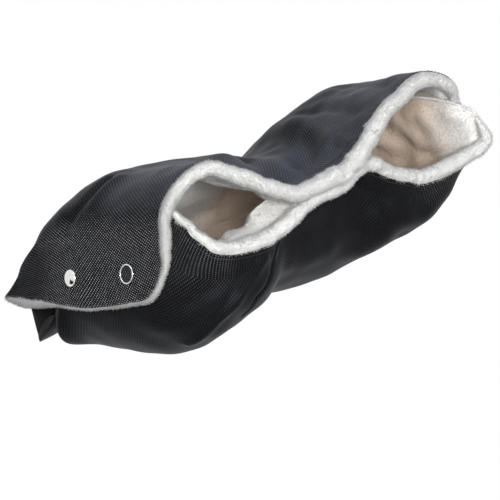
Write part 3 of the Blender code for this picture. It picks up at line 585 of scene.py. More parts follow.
# %% [markdown]
# ## Folds in the cloth
# Nylon over wadding keeps the folds that it is handled into. Each fold here is a line on the sheet, given by column
# and row, with a depth and a width. Snaps and darts gather the cloth, which makes short creases like a fan. All of it
# adds up to one height above the smooth sheet, and every layer is set out from that, so that nylon, wadding and
# lining can't cut through each other.

# %% A fine grid over each half
def crossed(places):
    """The normal at each point of a grid of places, as long as the square there is large."""
    return np.cross(np.gradient(places, axis=0), np.gradient(places, axis=1))


def lay_grid(rule, up, columns, rows):
    """Places, outward normals and cloth map of a half, at every column and row."""
    column, row = np.meshgrid(columns, rows, indexing="ij")
    places = to_world(rule(column, row))
    normals = crossed(places) * up
    raked = np.array([0.0, math.sin(HANDLE_RAKE), math.cos(HANDLE_RAKE)])
    flat = ease((row - 0.93) / 0.07)[..., None]
    normals = normals - flat * (normals @ raked)[..., None] * raked
    across, down = (size_of(np.diff(places, axis=axis)) for axis in (0, 1))
    u = np.concatenate([np.zeros((1, len(rows))), np.cumsum(across, axis=0)])
    u -= u[np.argmin(np.abs(columns))]
    v = np.concatenate([np.zeros((len(columns), 1)), np.cumsum(down, axis=1)], axis=1)
    normals = normals / length_of(normals)
    return {"rule": rule, "up": up, "column": column, "row": row, "place": places, "normal": normals, "u": u, "v": v}


SPANS = ((-3, -2, 32), (-2, -1, 52), (-1, 1, 150), (1, 2, 52))
COLUMNS = np.concatenate([np.linspace(*span)[:-1] for span in SPANS] + [np.linspace(2, 3, 32)])
ROWS = np.linspace(0, 1, 151)
upper = lay_grid(upper_surface, up=1, columns=COLUMNS, rows=ROWS)
lower = lay_grid(lower_surface, up=-1, columns=COLUMNS, rows=ROWS)
print("grid", upper["column"].shape, "cloth is", round(float(np.ptp(upper["u"])), 3), "m wide")


# %% Folds, fans and crumples
def distance_to_line(grid, line):
    """Distance of every grid point from a line of addresses, measured through space."""
    stops = to_world(grid["rule"](*np.array(line).T))
    nearest = np.full(grid["column"].shape, 9.0)
    for first, second in zip(stops[:-1], stops[1:]):
        way = second - first
        share = np.clip(((grid["place"] - first) @ way) / (way @ way), 0, 1)
        nearest = np.minimum(nearest, size_of(grid["place"] - first - share[..., None] * way))
    return nearest


def fold_height(grid, folds):
    """A fold with a positive height stands up, and one with a negative height is a valley."""
    total = np.zeros(grid["column"].shape)
    for height, width, line in folds:
        total += height * MM * np.exp(-((distance_to_line(grid, line) / (width * MM)) ** 2))
    return total


def fan_height(grid, fans):
    """Short creases that run out from a place where the cloth is gathered.

    They grow from nothing at its middle, are highest at about half their reach, and die out past it."""
    total = np.zeros(grid["column"].shape)
    for place, height, reach, creases, turn in fans:
        centre = to_world(grid["rule"](*np.array(place)))
        off = grid["place"] - centre
        away = size_of(off)
        normal = grid["normal"][np.unravel_index(np.argmin(away), total.shape)]
        side = np.cross(normal, (0.0, 0.0, 1.0))
        side /= np.linalg.norm(side)
        x, y = off @ side, off @ np.cross(normal, side)
        far = away / (reach * MM)
        wave = np.cos(creases * np.arctan2(y, x) + turn)
        total += height * MM * wave * far * 2.2 * np.exp(-((far * 1.25) ** 2) * 1.6)
    return total


def waves(points, size, seed, count=14):
    """Soft unevenness without a direction: sine waves that run all ways, from fixed random numbers."""
    maker = np.random.default_rng(seed)
    total = np.zeros(points.shape[:-1])
    for _ in range(count):
        way = maker.normal(size=3)
        way *= maker.uniform(0.7, 1.4) * math.tau / size / np.linalg.norm(way)
        total += np.sin(points @ way + maker.uniform(0, math.tau))
    return total / math.sqrt(count / 2)


# A fold's height and width in mm, and its line. A fan's place, height and reach in mm, number of creases and turn.
BROAD_FOLDS = [
    (-6.5, 13, [(0.48, 0.34), (0.33, 0.25), (0.14, 0.15)]),
    (3.5, 16, [(0.30, 0.42), (0.12, 0.30), (-0.04, 0.18)]),
    (-6.5, 12, [(0.00, 0.40), (-0.14, 0.22), (-0.22, 0.10)]),
    (3.0, 14, [(-0.18, 0.44), (-0.34, 0.24), (-0.42, 0.10)]),
    (4.0, 14, [(0.66, 0.50), (0.62, 0.38), (0.50, 0.20)]),
]
UPPER_FOLDS = [
    (-4.2, 6, [(-1.35, 0.50), (-1.57, 0.513), (-1.74, 0.533), (-1.89, 0.567)]),
    (2.0, 8, [(-1.30, 0.44), (-1.55, 0.45), (-1.75, 0.46)]),
    (-4.0, 8, [(-1.90, 0.585), (-2.02, 0.583)]),
    (-2.6, 6, [(-2.12, 0.74), (-2.31, 0.70), (-2.46, 0.61)]),
    (-2.0, 5, [(-2.75, 0.66), (-2.70, 0.75), (-2.72, 0.86)]),
    (-6.0, 26, [(-1.74, 0.80), (-1.92, 0.86), (-2.10, 0.92)]),
    (-2.4, 3.0, [(0.02, 0.075), (0.18, 0.072), (0.33, 0.050), (0.42, 0.045)]),
    (2.2, 3.4, [(0.02, 0.115), (0.20, 0.108), (0.34, 0.085)]),
    (-2.6, 5, [(0.40, 0.09), (0.44, 0.13)]),
    (-2.4, 8, [(0.80, 0.50), (0.78, 0.30), (0.70, 0.12)]),
    (1.8, 11, [(0.95, 0.45), (0.92, 0.25), (0.84, 0.10)]),
    (-2.0, 9, [(1.30, 0.50), (1.15, 0.28), (1.02, 0.10)]),
    (-2.0, 12, [(-0.85, 0.62), (-0.55, 0.75), (-0.30, 0.90)]),
    (-2.4, 12, [(0.15, 0.66), (0.25, 0.80), (0.30, 0.94)]),
    (-2.0, 11, [(0.85, 0.64), (0.80, 0.80), (0.70, 0.94)]),
    (-2.0, 10, [(1.90, 0.56), (1.70, 0.54), (1.45, 0.52)]),
]
UPPER_FANS = [
    ((-2.65, 0.587), 2.0, 16, 7, 0.4),
    ((-2.61, 0.247), 1.8, 15, 6, 1.1),
    ((2.62, 0.587), 1.0, 15, 7, 2.0),
    ((2.60, 0.247), 0.9, 14, 6, 0.2),
    ((0.39, 0.060), 0.8, 16, 9, 0.7),
]
LOWER_FOLDS = [
    (-2.4, 2.0, [(-0.52, 0.02), (-0.59, 0.083), (-0.74, 0.15), (-0.85, 0.183), (-0.90, 0.26)]),
    (3.0, 6, [(-0.70, 0.05), (-0.95, 0.123), (-1.17, 0.213), (-1.32, 0.32)]),
    (-2.4, 6, [(-0.82, 0.05), (-1.06, 0.13), (-1.28, 0.22)]),
    (-5.5, 12, [(-1.55, 0.177), (-1.38, 0.13), (-1.09, 0.093)]),
    (2.4, 13, [(-1.60, 0.28), (-1.45, 0.24), (-1.30, 0.30)]),
    (2.4, 14, [(-0.20, 0.24), (-0.03, 0.267), (0.20, 0.26)]),
    (-2.4, 12, [(-0.30, 0.14), (-0.10, 0.16), (0.20, 0.15)]),
    (-2.6, 12, [(0.40, 0.10), (0.62, 0.15), (0.85, 0.26)]),
    (-1.8, 3, [(0.97, 0.004), (1.07, 0.033), (1.21, 0.045)]),
    (-1.6, 4, [(0.97, 0.004), (0.99, 0.05), (1.05, 0.10)]),
    (2.2, 12, [(1.15, 0.12), (1.40, 0.16), (1.60, 0.24)]),
    (-2.4, 13, [(-0.60, 0.66), (-0.40, 0.80), (-0.35, 0.93)]),
    (-2.2, 12, [(0.45, 0.64), (0.50, 0.80), (0.62, 0.93)]),
]
LOWER_FANS = [((0.97, 0.02), 1.0, 18, 11, 0.3), ((-0.52, 0.03), 0.8, 14, 9, 0.9)]


def relief(grid, folds, fans, seed):
    """The height of all folds. It dies out at the fold line, where the two halves meet."""
    total = fold_height(grid, folds) + fan_height(grid, fans)
    total += waves(grid["place"], 90 * MM, seed) * 0.9 * MM + waves(grid["place"], 38 * MM, seed + 1) * 0.35 * MM
    return total * ease((1 - grid["row"]) / 0.06)


broad = ease((upper["row"] - 0.04) / 0.10) * ease((1 - upper["row"]) / 0.14) * ease(2 - np.abs(upper["column"]))
upper["height"] = relief(upper, UPPER_FOLDS, UPPER_FANS, seed=5) + fold_height(upper, BROAD_FOLDS) * broad
lower["height"] = relief(lower, LOWER_FOLDS, LOWER_FANS, seed=8)
for grid, begin, span, calm in ((upper, 1.8, 0.4, 0.35), (lower, 1.2, 0.5, 0.6)):
    grid["height"] = grid["height"] * (1 - calm * ease((np.abs(grid["column"]) - begin) / span))
print("folds, mm: upper", (np.array([upper["height"].min(), upper["height"].max()]) / MM).round(1))

# %% [markdown]
# ## Layers of the sheet
# Each layer is a closed sheet: the grid once at the layer's top, once at its bottom, and a rim between. The upper half
# is parted at the hinge of each end flap.
# The lining's own soft hollows are added to its inner face.

# %% One layer from the grid
def set_values(mesh, **named_values):
    for name, values in named_values.items():
        values = np.broadcast_to(np.asarray(values, np.float32).ravel(), len(mesh.vertices))
        mesh.attributes.new(name, "FLOAT", "POINT").data.foreach_set("value", np.ascontiguousarray(values))


def grid_quads(shape, usable):
    """The numbers of the four corners of each usable square of a grid."""
    index = np.arange(shape[0] * shape[1]).reshape(shape)
    i, j = np.nonzero(usable)
    return np.stack([index[i, j], index[i + 1, j], index[i + 1, j + 1], index[i, j + 1]], axis=1)


def layer_piece(name, grid, cells, top, bottom, finish, title, levels=1):
    """cells says which squares of the grid belong to this piece. levels takes every so many grid lines."""
    pick = (slice(None, None, levels), slice(None, None, levels))
    place, normal, u, v = (grid[key][pick] for key in ("place", "normal", "u", "v"))
    top, bottom, cells = (np.broadcast_to(values, grid["row"].shape)[pick] for values in (top, bottom, cells))
    cells = cells[:-1, :-1] & cells[1:, :-1] & cells[:-1, 1:] & cells[1:, 1:]
    quads = grid_quads(u.shape, cells)
    if grid["up"] < 0:
        quads = quads[:, ::-1]
    size = u.size
    edges = np.concatenate([quads[:, [k, (k + 1) % 4]] for k in range(4)])
    rim = edges[~np.isin(edges @ (size, 1), edges @ (1, size))]
    wall = np.stack([rim[:, 1], rim[:, 0], rim[:, 0] + size, rim[:, 1] + size], axis=1)
    used, faces = np.unique(np.concatenate([quads, quads[:, ::-1] + size, wall]), return_inverse=True)
    faces = faces.reshape(-1, 4)
    above, below = place + normal * top[..., None], place + normal * bottom[..., None]
    if title != "nylon":
        below = below + grid["heave"][pick]
        above = above + grid["heave"][pick] * (title == "fleece")
    points = np.concatenate([above.reshape(-1, 3), below.reshape(-1, 3)])[used]
    cloth = np.stack([np.tile(u.ravel(), 2), np.tile(v.ravel(), 2)], axis=1)[used]
    mesh = new_mesh(name, points.tolist(), faces.tolist())
    mesh.uv_layers.new(name="cloth").data.foreach_set("uv", cloth[faces.ravel()].ravel())
    looks = ("glint", "faded") if title == "nylon" else ("warmth", "faced")
    set_values(mesh, **{key: np.tile(grid[key][pick].ravel(), 2)[used] for key in looks})
    mesh.materials.append(finish)
    mesh.shade_smooth()
    mesh.set_sharp_from_angle(angle=math.radians(60))
    made = in_scene(name, mesh)
    spread = size_of(crossed(place))
    made["area"] = float(spread[:-1, :-1][cells].sum())
    return made


# %% Parting at the hinges
# Both sets of squares hold the grid lines at which a flap and the upper half meet.
HINGE_ZONE, BEND_REACH = 1.75, 12 * MM
reach = np.abs(upper["column"])
flap_cells = (reach > 1.995) | ((reach >= HINGE_ZONE) & (upper["row"] < 0.52))
panel_cells = (reach < 2.005) & ((reach <= HINGE_ZONE + 0.03) | (upper["row"] > 0.50))
PARTS = {
    "upper": (upper, panel_cells),
    "left": (upper, flap_cells & (upper["column"] < 0)),
    "right": (upper, flap_cells & (upper["column"] > 0)),
    "lower": (lower, np.ones(lower["row"].shape, bool)),
}


def named(part, title):
    return f"{part}_flap_{title}" if part in ENDS else f"{part}_{title}"


def carry(piece, part):
    """A half is attached to its body and moves as one. A flap's piece only has its place baked into its mesh."""
    if part not in ENDS:
        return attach(piece, f"{part}_half")
    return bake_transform(piece)


print("squares in each part:", {part: int(cells.sum()) for part, (grid, cells) in PARTS.items()})

# %% Fullness, pillows and what the light shows
EDGE_TAPER, PINCHED, ROW_REACH = 14 * MM, 0.34, 0.19


def fullness(grid, reach_size):
    """How full the sheet is, from 1 to the third that is left where a flap's or tab's edge is sewn shut."""
    out = np.abs(grid["column"])
    behind = np.where(out > 1.9, (1 - grid["row"]) * ROW_REACH, 1.0)
    away = np.minimum(np.minimum((3 - out) * reach_size, grid["row"] * ROW_REACH), behind)
    sewn = np.maximum(ease((out - 1.6) / 0.35), ease((grid["column"] - 0.9) / 0.4) * (grid["up"] > 0))
    return 1 - (1 - PINCHED) * (1 - ease(away / EDGE_TAPER)) * sewn


def lowest_nearby(height, steps=4):
    """The lowest height within a few grid lines, for the coarser layers underneath."""
    for _ in range(steps):
        for axis in (0, 1):
            wide = np.concatenate([height.take([0], axis), height, height.take([-1], axis)], axis)
            count = height.shape[axis]
            height = np.minimum(np.minimum(wide.take(range(count), axis), height), wide.take(range(2, count + 2), axis))
    return height


def smoothed(values, times):
    for _ in range(times):
        values = np.concatenate([values[:1], (values[:-2] + 2 * values[1:-1] + values[2:]) / 4, values[-1:]])
    return values


def pillow(grid, centre, reach, size):
    """Wadding that swells inwards round an address. The reach is in columns and rows."""
    away = np.hypot((grid["column"] - centre[0]) / reach[0], (grid["row"] - centre[1]) / reach[1])
    return size * MM * ease(1 - away) * ease(grid["row"] / 0.05)


def round_posts(grid):
    """The lining swells softly round each press stud's post, and covers its flange."""
    total = np.zeros(grid["row"].shape)
    for end in ENDS.values():
        for number in (0, 1):
            foot, _, _, out = snap_axes(end, number)
            off = grid["place"] - foot
            away = size_of(off - (off @ out)[..., None] * out) / MM
            swell = (1.7 + 2.0 * (1 - np.exp(-((away / 8) ** 2)))) * MM * ease((34 - away) / 18)
            total += np.where(grid["column"] * end["side"] > 1.5, swell, 0.0)
    return total


def facing_up(grid):
    """How much each spot of the folded cloth faces the sky: there the nylon is painted with a cool sky sheen, most on
    the ridges.
    """
    folded = grid["place"] + grid["normal"] * grid["height"][..., None]
    normals = crossed(folded) * grid["up"]
    return ease((normals[..., 2] / length_of(normals)[..., 0] - 0.45) / 0.5)


upper["puff"] = pillow(upper, centre=(-0.5, 0.72), reach=(1.1, 0.30), size=24)
lower["puff"] = pillow(lower, centre=(1.0, 0.15), reach=(0.9, 0.20), size=10) + round_posts(lower)
upper["heave"] = np.zeros(upper["place"].shape)
heaved = pillow(lower, centre=(-0.72, 0.17), reach=(0.85, 0.22), size=1)
lower["heave"] = heaved[..., None] * np.array([0.0, 44.0, 36.0])
for grid, reach_size, size, seed in ((upper, 0.075, 1.5 * MM, 21), (lower, 0.050, 2.0 * MM, 22)):
    grid["full"] = fullness(grid, reach_size)
    grid["under"] = lowest_nearby(grid["height"])
    hollows = np.minimum(waves(grid["place"], 40 * MM, seed) * size, 2.5 * MM)
    grid["inner"] = grid["under"] - grid["puff"] + hollows * grid["full"]
    # Painted shade by each exit for the handle's arm, at the rear of the outer columns.
    grid["faced"] = ease((np.abs(grid["column"]) - 1.55) / 0.2) * ease((grid["row"] - 0.54) / 0.05)
    # Painted shade: the lining is painted darker and warmer further in from the hand edge, far more on the right half
    # than on the left.
    grid["warmth"] = ease((grid["v"] / MM - 10) / 65) * (0.1 + 0.9 * ease(grid["column"] / 0.4))
# Near the left opening the lower lining's front rows lose that painted shade, so they read as lit.
near_left = ease((lower["column"] + 1.5) / 0.3) * ease((0.35 - lower["column"]) / 0.3)
lower["warmth"] *= 1 - near_left * ease((0.45 - lower["row"]) / 0.15)
on_flap = ease((np.abs(upper["column"]) - 1.7) / 0.5)
past_crest = ease((upper["row"] - 0.34) / 0.12)
at_rear = ease((upper["row"] - 0.62) / 0.15)
# Painted glint on the knots: strongest on the flaps, weaker on the top, less at the flap's rear and past the crest.
upper["glint"] = (0.22 + 0.78 * on_flap) * (1 - on_flap * 0.8 * at_rear) * (1 - 0.5 * past_crest * (1 - on_flap))
# The painted sky sheen follows the upward-facing folds, fades past the crest and leaves the flaps out.
upper["faded"] = smoothed(smoothed(facing_up(upper), 8).T, 8).T * (1 - 0.85 * past_crest) * (1 - on_flap)
by_edge = np.exp(-((lower["row"] / 0.10) ** 2)) * ease((np.abs(lower["column"]) - 0.9) / 0.3)
# The lower half is in shade, so its knots get little painted glint, a little more by the hand edge near the ends.
lower["glint"], lower["faded"] = 0.04 + 0.25 * by_edge, np.zeros(lower["row"].shape)
print("pillows reach inwards, mm:", round(float(length_of(lower["heave"]).max()) / MM))

# %% Nylon, wadding and lining
LAYER_LOOKS = (
    ("nylon", "shell", nylon, "nylon_shell", 0.0, SHELL, 1),
    ("wadding", "padding", wadding, "wadding", SHELL + LAYER_GAP, PADDING, 3),
    ("fleece", "lining", lining_fleece, "fleece_lining", SHEET - LINING, LINING, 2),
)
cloth_pieces = []
for title, layer, finish, slot, depth, thickness, levels in LAYER_LOOKS:
    for part, (grid, cells) in PARTS.items():
        upside = {"nylon": grid["height"], "wadding": grid["under"], "fleece": grid["under"] - grid["puff"]}[title]
        inside = {"nylon": upside, "wadding": grid["under"] - grid["puff"], "fleece": grid["inner"]}[title]
        top, bottom = upside - depth * grid["full"], inside - (depth + thickness) * grid["full"]
        piece = layer_piece(named(part, title), grid, cells, top, bottom, finish, title, levels)
        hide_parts(named(part, layer))
        carry(piece, part)
        cloth_pieces.append((part, title, piece))
print({piece.name: len(piece.data.polygons) for part, title, piece in cloth_pieces})

# %% [markdown]
# ## Fleece pile
# The fleece turned out over each edge is a soft roll with thousands of short fibres. Fibres are the same small shape
# over and over, which is what Geometry Nodes are for: scatter points on the roll, put a thin bent cone on each, lean
# it at random, and make it all real mesh. A particle system would need a step by hand, and a bump alone would leave
# the roll's outline smooth.

# %% The node tree that grows the pile
SOCKET_KINDS = {bool: "NodeSocketBool", int: "NodeSocketInt", float: "NodeSocketFloat"}


def start_tree(name, inputs):
    """A modifier's tree with named inputs. A modifier knows each by its identifier, so those are returned too."""
    tree = bpy.data.node_groups.new(name, "GeometryNodeTree")
    tree.is_modifier = True
    for way in ("INPUT", "OUTPUT"):
        tree.interface.new_socket(name="Geometry", in_out=way, socket_type="NodeSocketGeometry")
    sizes = {}
    for title, value in inputs.items():
        socket = tree.interface.new_socket(name=title, in_out="INPUT", socket_type=SOCKET_KINDS[type(value)])
        socket.default_value = value
        sizes[title] = socket.identifier
    return tree, sizes, add_node(tree, "NodeGroupInput").outputs


def place_shape(tree, points, way, shape, scale):
    """One shape on each point, turned to face a direction, and all of it made real mesh."""
    turn = add_node(tree, "FunctionNodeAlignRotationToVector", {"Vector": way}, axis="Z").outputs[0]
    sockets = {"Points": points, "Instance": shape, "Rotation": turn, "Scale": scale}
    placed = add_node(tree, "GeometryNodeInstanceOnPoints", sockets).outputs[0]
    return add_node(tree, "GeometryNodeRealizeInstances", {0: placed}).outputs[0]


def finish_tree(tree, geometry, finish):
    smooth = add_node(tree, "GeometryNodeSetShadeSmooth", {"Geometry": geometry}).outputs[0]
    painted = add_node(tree, "GeometryNodeSetMaterial", {"Geometry": smooth, "Material": finish}).outputs[0]
    add_node(tree, "NodeGroupOutput", {0: painted})


def pile_tree(name, finish):
    inputs = {"Fibres per square metre": 500000.0, "Length": 3 * MM, "Thickness": 0.3 * MM, "Lean": 0.8}
    tree, sizes, given = start_tree(name, {**inputs, "Seed": 1, "Keep base": True})
    room = add_node(tree, "GeometryNodeInputNamedAttribute", {"Name": "pile"}, data_type="FLOAT").outputs["Attribute"]
    density = calculate(tree, "MULTIPLY", given["Fibres per square metre"], room)
    sockets = {"Mesh": given["Geometry"], "Density": density, "Seed": given["Seed"]}
    points = add_node(tree, "GeometryNodeDistributePointsOnFaces", sockets, distribute_method="RANDOM").outputs
    sockets = {"Radius Top": 0.0, "Radius Bottom": given["Thickness"], "Depth": given["Length"]}
    sockets.update({"Vertices": 3, "Side Segments": 1, "Fill Segments": 1})
    fibre = add_node(tree, "GeometryNodeMeshCone", sockets, fill_type="NGON").outputs["Mesh"]
    sockets = {"Min": (-1, -1, -1), "Max": (1, 1, 1), "Seed": given["Seed"]}
    leaning = add_node(tree, "FunctionNodeRandomValue", sockets, data_type="FLOAT_VECTOR").outputs["Value"]
    lean = add_node(tree, "ShaderNodeVectorMath", {0: leaning, "Scale": given["Lean"]}, operation="SCALE").outputs[0]
    way = add_node(tree, "ShaderNodeVectorMath", {0: points["Normal"], 1: lean}, operation="ADD").outputs[0]
    sockets = {2: 0.55, 3: 1.15, "Seed": given["Seed"]}
    grown = add_node(tree, "FunctionNodeRandomValue", sockets, data_type="FLOAT").outputs[1]
    real = place_shape(tree, points["Points"], way, fibre, grown)
    sockets = {"Switch": given["Keep base"], "True": given["Geometry"]}
    base = add_node(tree, "GeometryNodeSwitch", sockets, input_type="GEOMETRY").outputs[0]
    joined = add_node(tree, "GeometryNodeJoinGeometry")
    tree.links.new(base, joined.inputs[0])
    tree.links.new(real, joined.inputs[0])
    finish_tree(tree, joined.outputs[0], finish)
    return tree, sizes


def grow(piece, tree_and_sizes, **values):
    """Runs the tree on a piece and returns the result as a plain mesh."""
    tree, sizes = tree_and_sizes
    modifier = piece.modifiers.new("pile", "NODES")
    modifier.node_group = tree
    for name, value in values.items():
        modifier[sizes[name.replace("_", " ")]] = value
    bpy.context.view_layer.update()
    done = bpy.data.meshes.new_from_object(piece.evaluated_get(bpy.context.evaluated_depsgraph_get()))
    piece.modifiers.remove(modifier)
    return done


lip_pile = pile_tree("fleece pile", lip_fleece)
print("pile inputs:", list(lip_pile[1]))


# %% A point on the folded cloth, and a path along its edge
def on_cloth(grid, column, row, lift=0.0):
    """Places and normals at any addresses, read between the grid's lines."""
    i = np.interp(column, grid["column"][:, 0], np.arange(grid["column"].shape[0]))
    j = np.interp(row, grid["row"][0], np.arange(grid["row"].shape[1]))
    i0, j0 = np.minimum(i.astype(int), grid["column"].shape[0] - 2), np.minimum(j.astype(int), grid["row"].shape[1] - 2)
    a, b = (i - i0)[:, None], (j - j0)[:, None]

    def between(values):
        low = values[i0, j0] * (1 - a) + values[i0 + 1, j0] * a
        high = values[i0, j0 + 1] * (1 - a) + values[i0 + 1, j0 + 1] * a
        return low * (1 - b) + high * b

    return between(grid["place"] + grid["normal"] * (grid["height"] + lift)[..., None]), between(grid["normal"])


def along_line(stops, count):
    """Columns and rows at so many even shares of a line of addresses."""
    share = np.linspace(0, 1, count)
    return [np.interp(share, np.linspace(0, 1, len(stops)), [stop[k] for stop in stops]) for k in (0, 1)]


def edge_path(grid, stops, spacing=1.5 * MM):
    """Evenly spaced places along a line of addresses, with normals, and with how far along each one is.

    The mark is the column on the front edge, and 3 more or less than the row on a side."""
    column, row = along_line(stops, count=2400)
    places, normals = on_cloth(grid, column, row)
    mark = np.where(row > 0, np.sign(column) * (3 + row), column)
    far = np.concatenate([[0], np.cumsum(size_of(np.diff(places, axis=0)))])
    even = np.linspace(0, far[-1], int(far[-1] / spacing))
    places, normals = (
        np.stack([np.interp(even, far, part) for part in values.T], axis=1) for values in (places, normals)
    )
    return places, normals / length_of(normals), np.interp(even, far, mark)


upper_edge = edge_path(upper, [(-3, 1), (-3, 0), (3, 0), (3, 1)])
lower_edge = edge_path(lower, [(-3, 0.56), (-3, 0), (3, 0), (3, 0.56)])
print("edges have", len(upper_edge[0]), "and", len(lower_edge[0]), "stations")


# %% The fleece turned out over an edge
def roll_rings(path, radii, depths, proud, away, seed, sides=20, sunk=0.8 * MM):
    """Rings of points round the edge. The tables give, by mark, millimetres and how far the roll stands out."""
    places, normals, mark = path
    tables = ((radii, MM), (depths, MM), (proud, 1))
    radius, depth, share = (smoothed(np.interp(mark, *zip(*table))[:, None] * unit, 6) for table, unit in tables)
    way = smoothed(np.gradient(places, axis=0), 10)
    side = np.cross(way, normals)
    side = smoothed(side * away / length_of(side), 10)
    side /= length_of(side)
    lift = np.cross(side, way)
    lift /= length_of(lift)
    lift *= np.sign((lift * normals).sum(-1, keepdims=True))
    centres = smoothed(places + side * (radius * share - sunk) - normals * depth, 5)
    turn = np.linspace(0, math.tau, sides, endpoint=False)
    ring = side[:, None] * np.cos(turn)[None, :, None] + lift[:, None] * np.sin(turn)[None, :, None]
    points = centres[:, None] + ring * radius[:, :, None]
    ruffled = 1 + 0.9 * np.exp(-(((mark - 0.25) / 0.4) ** 2))[:, None]
    lumps = 1 + 0.045 * waves(points, 8 * MM, seed) + 0.06 * waves(points, 20 * MM, seed + 1) * ruffled
    return centres[:, None] + ring * (radius[:, :, None] * lumps[..., None])


def fleece_roll(name, node, rings, dulled, seed, density, length=3.0 * MM, thickness=0.26 * MM):
    n, sides = rings.shape[:2]
    index = np.arange(n * sides).reshape(n, sides)
    after = np.roll(index, -1, axis=1)
    faces = np.stack([index[:-1], index[1:], after[1:], after[:-1]], axis=-1).reshape(-1, 4).tolist()
    faces += [index[0].tolist(), index[-1][::-1].tolist()]
    mesh = new_mesh(name, rings.reshape(-1, 3).tolist(), faces)
    shape = bmesh.new()
    shape.from_mesh(mesh)
    bmesh.ops.recalc_face_normals(shape, faces=shape.faces)
    shape.to_mesh(mesh)
    shape.free()
    set_values(mesh, pile=1.0, warmth=np.repeat(dulled, sides), faced=0.0)
    roll = in_scene(name, mesh)
    sizes = dict(Fibres_per_square_metre=density, Length=length, Thickness=thickness, Lean=0.7, Seed=seed)
    roll.data = grow(roll, lip_pile, **sizes)
    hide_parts(node)
    print(name, len(roll.data.polygons), "faces")
    return roll


UPPER_RADII = [
    (-4.0, 0.5), (-3.97, 0.9), (-3.88, 3.0), (-3.80, 4.5), (-3.72, 3.4), (-3.65, 1.6), (-3.40, 1.5), (-3.22, 1.8),
    (-3.10, 2.5), (-2.95, 3.4), (-2.6, 4.2), (-2.1, 5.0), (-1.6, 5.2), (-1.2, 5.4), (-0.8, 6.2), (-0.2, 6.8),
    (0.1, 8.4), (0.4, 8.2), (0.7, 6.8), (1.2, 6.6), (1.7, 5.6), (2.1, 4.6), (2.9, 3.6), (3.2, 2.6), (3.7, 2.4),
    (4.0, 1.0),
]
UPPER_DEPTHS = [
    (-4.0, 2.0), (-3.2, 2.0), (-2.9, 2.6), (-2.3, 4.0), (-1.7, 5.4), (-0.5, 6.6), (0.0, 6.6), (0.6, 7.0), (1.1, 8.0),
    (1.5, 9.0), (2.0, 8.0), (3.0, 2.4), (4.0, 2.0),
]
UPPER_PROUD = [(-4.0, 0.85), (0.8, 0.85), (1.4, 0.25), (2.1, 0.25), (2.8, 0.85), (4.0, 0.85)]
rings = roll_rings(upper_edge, UPPER_RADII, UPPER_DEPTHS, UPPER_PROUD, away=1, seed=31)
first, last = (int(np.argmin(np.abs(upper_edge[2] - mark))) for mark in (-HINGE_ZONE, HINGE_ZONE))
# Painted shade on the left flap's trim and the left end of the upper lip: their pile is painted greyer.
dulled = ease((-1.3 - upper_edge[2]) / 0.6)
middle = slice(first, last + 1)
lip = fleece_roll("upper_lip", "upper_fleece_lip", rings[middle], dulled[middle], seed=31, density=1250000.0)
carry(lip, "upper")
for side, part in (("left", slice(0, first + 1)), ("right", slice(last, None))):
    sizes = dict(seed=51, density=1500000.0, length=2.4 * MM, thickness=0.22 * MM)
    carry(fleece_roll(f"{side}_trim", f"{side}_flap_fleece_trim", rings[part], dulled[part], **sizes), side)

# %% The lower lip, which runs up each tab's front and along its top
LOWER_RADII = [
    (-3.56, 1.2), (-3.1, 2.0), (-2.9, 2.8), (-2.4, 3.4), (-1.9, 3.6), (-1.6, 4.6), (-1.3, 6.4), (-0.8, 7.2),
    (-0.4, 6.8), (-0.15, 5.0), (0.35, 5.2), (0.6, 6.6), (1.3, 8.0), (1.8, 7.0), (2.15, 4.0),
    (2.6, 2.0), (3.0, 1.3), (3.56, 1.1),
]
LOWER_DEPTHS = [
    (-3.56, 2.0), (-3.1, 2.0), (-2.5, 2.6), (-1.9, 4.4), (-1.3, 5.2), (-0.4, 5.4), (-0.1, 6.6), (0.4, 6.4), (0.8, 5.2),
    (1.3, 5.2), (2.2, 4.4), (3.0, 2.0), (3.56, 1.6),
]
rings = roll_rings(lower_edge, LOWER_RADII, LOWER_DEPTHS, [(0, 0.85)], away=-1, seed=41)
lip = fleece_roll("lower_lip", "lower_fleece_lip", rings, np.zeros(len(rings)), seed=41, density=1000000.0)
carry(lip, "lower")

# %% [markdown]
# ## Pile on the lining
# The same tree grows a shorter pile on the lining's inner face. It is dense by the hand openings, where it is seen
# close up, and thin further in. The pile is a piece of its own, so that the lining keeps the plain area of a cloth.

# %% Short pile by the openings
def inner_face(grid, cells, bottom, name, room, levels=3):
    """Only the lining's inner face, as a base for the pile."""
    pick = (slice(None, None, levels), slice(None, None, levels))
    points = (grid["place"] + grid["normal"] * bottom[..., None] + grid["heave"])[pick]
    usable = cells[pick]
    # The corners run the other way round, because this face looks inwards.
    quads = grid_quads(points.shape[:2], usable[:-1, :-1] & usable[1:, 1:])[:, [0, 3, 2, 1]]
    if grid["up"] < 0:
        quads = quads[:, ::-1]
    mesh = new_mesh(name, points.reshape(-1, 3).tolist(), quads.tolist())
    set_values(mesh, pile=room[pick], warmth=grid["warmth"][pick], faced=grid["faced"][pick])
    return in_scene(name, mesh)


lining_pile = pile_tree("lining pile", lining_fleece)
pile_sizes = dict(Fibres_per_square_metre=700000.0, Length=2.4 * MM, Thickness=0.34 * MM, Lean=1.0, Seed=61)
with_pieces = {}
for part, (grid, cells) in PARTS.items():
    bottom = grid["inner"] - SHEET * grid["full"]
    room = 0.22 + 0.78 * np.maximum(1 - ease((grid["row"] - 0.10) / 0.25), ease((grid["row"] - 0.93) / 0.04))
    room = room * (1 - grid["faced"])
    pile = inner_face(grid, cells, bottom, named(part, "pile"), room)
    pile.data = grow(pile, lining_pile, **pile_sizes, Keep_base=False)
    carry(pile, part)
    with_pieces[named(part, "fleece")] = [pile]
    print(pile.name, len(pile.data.polygons), "faces")

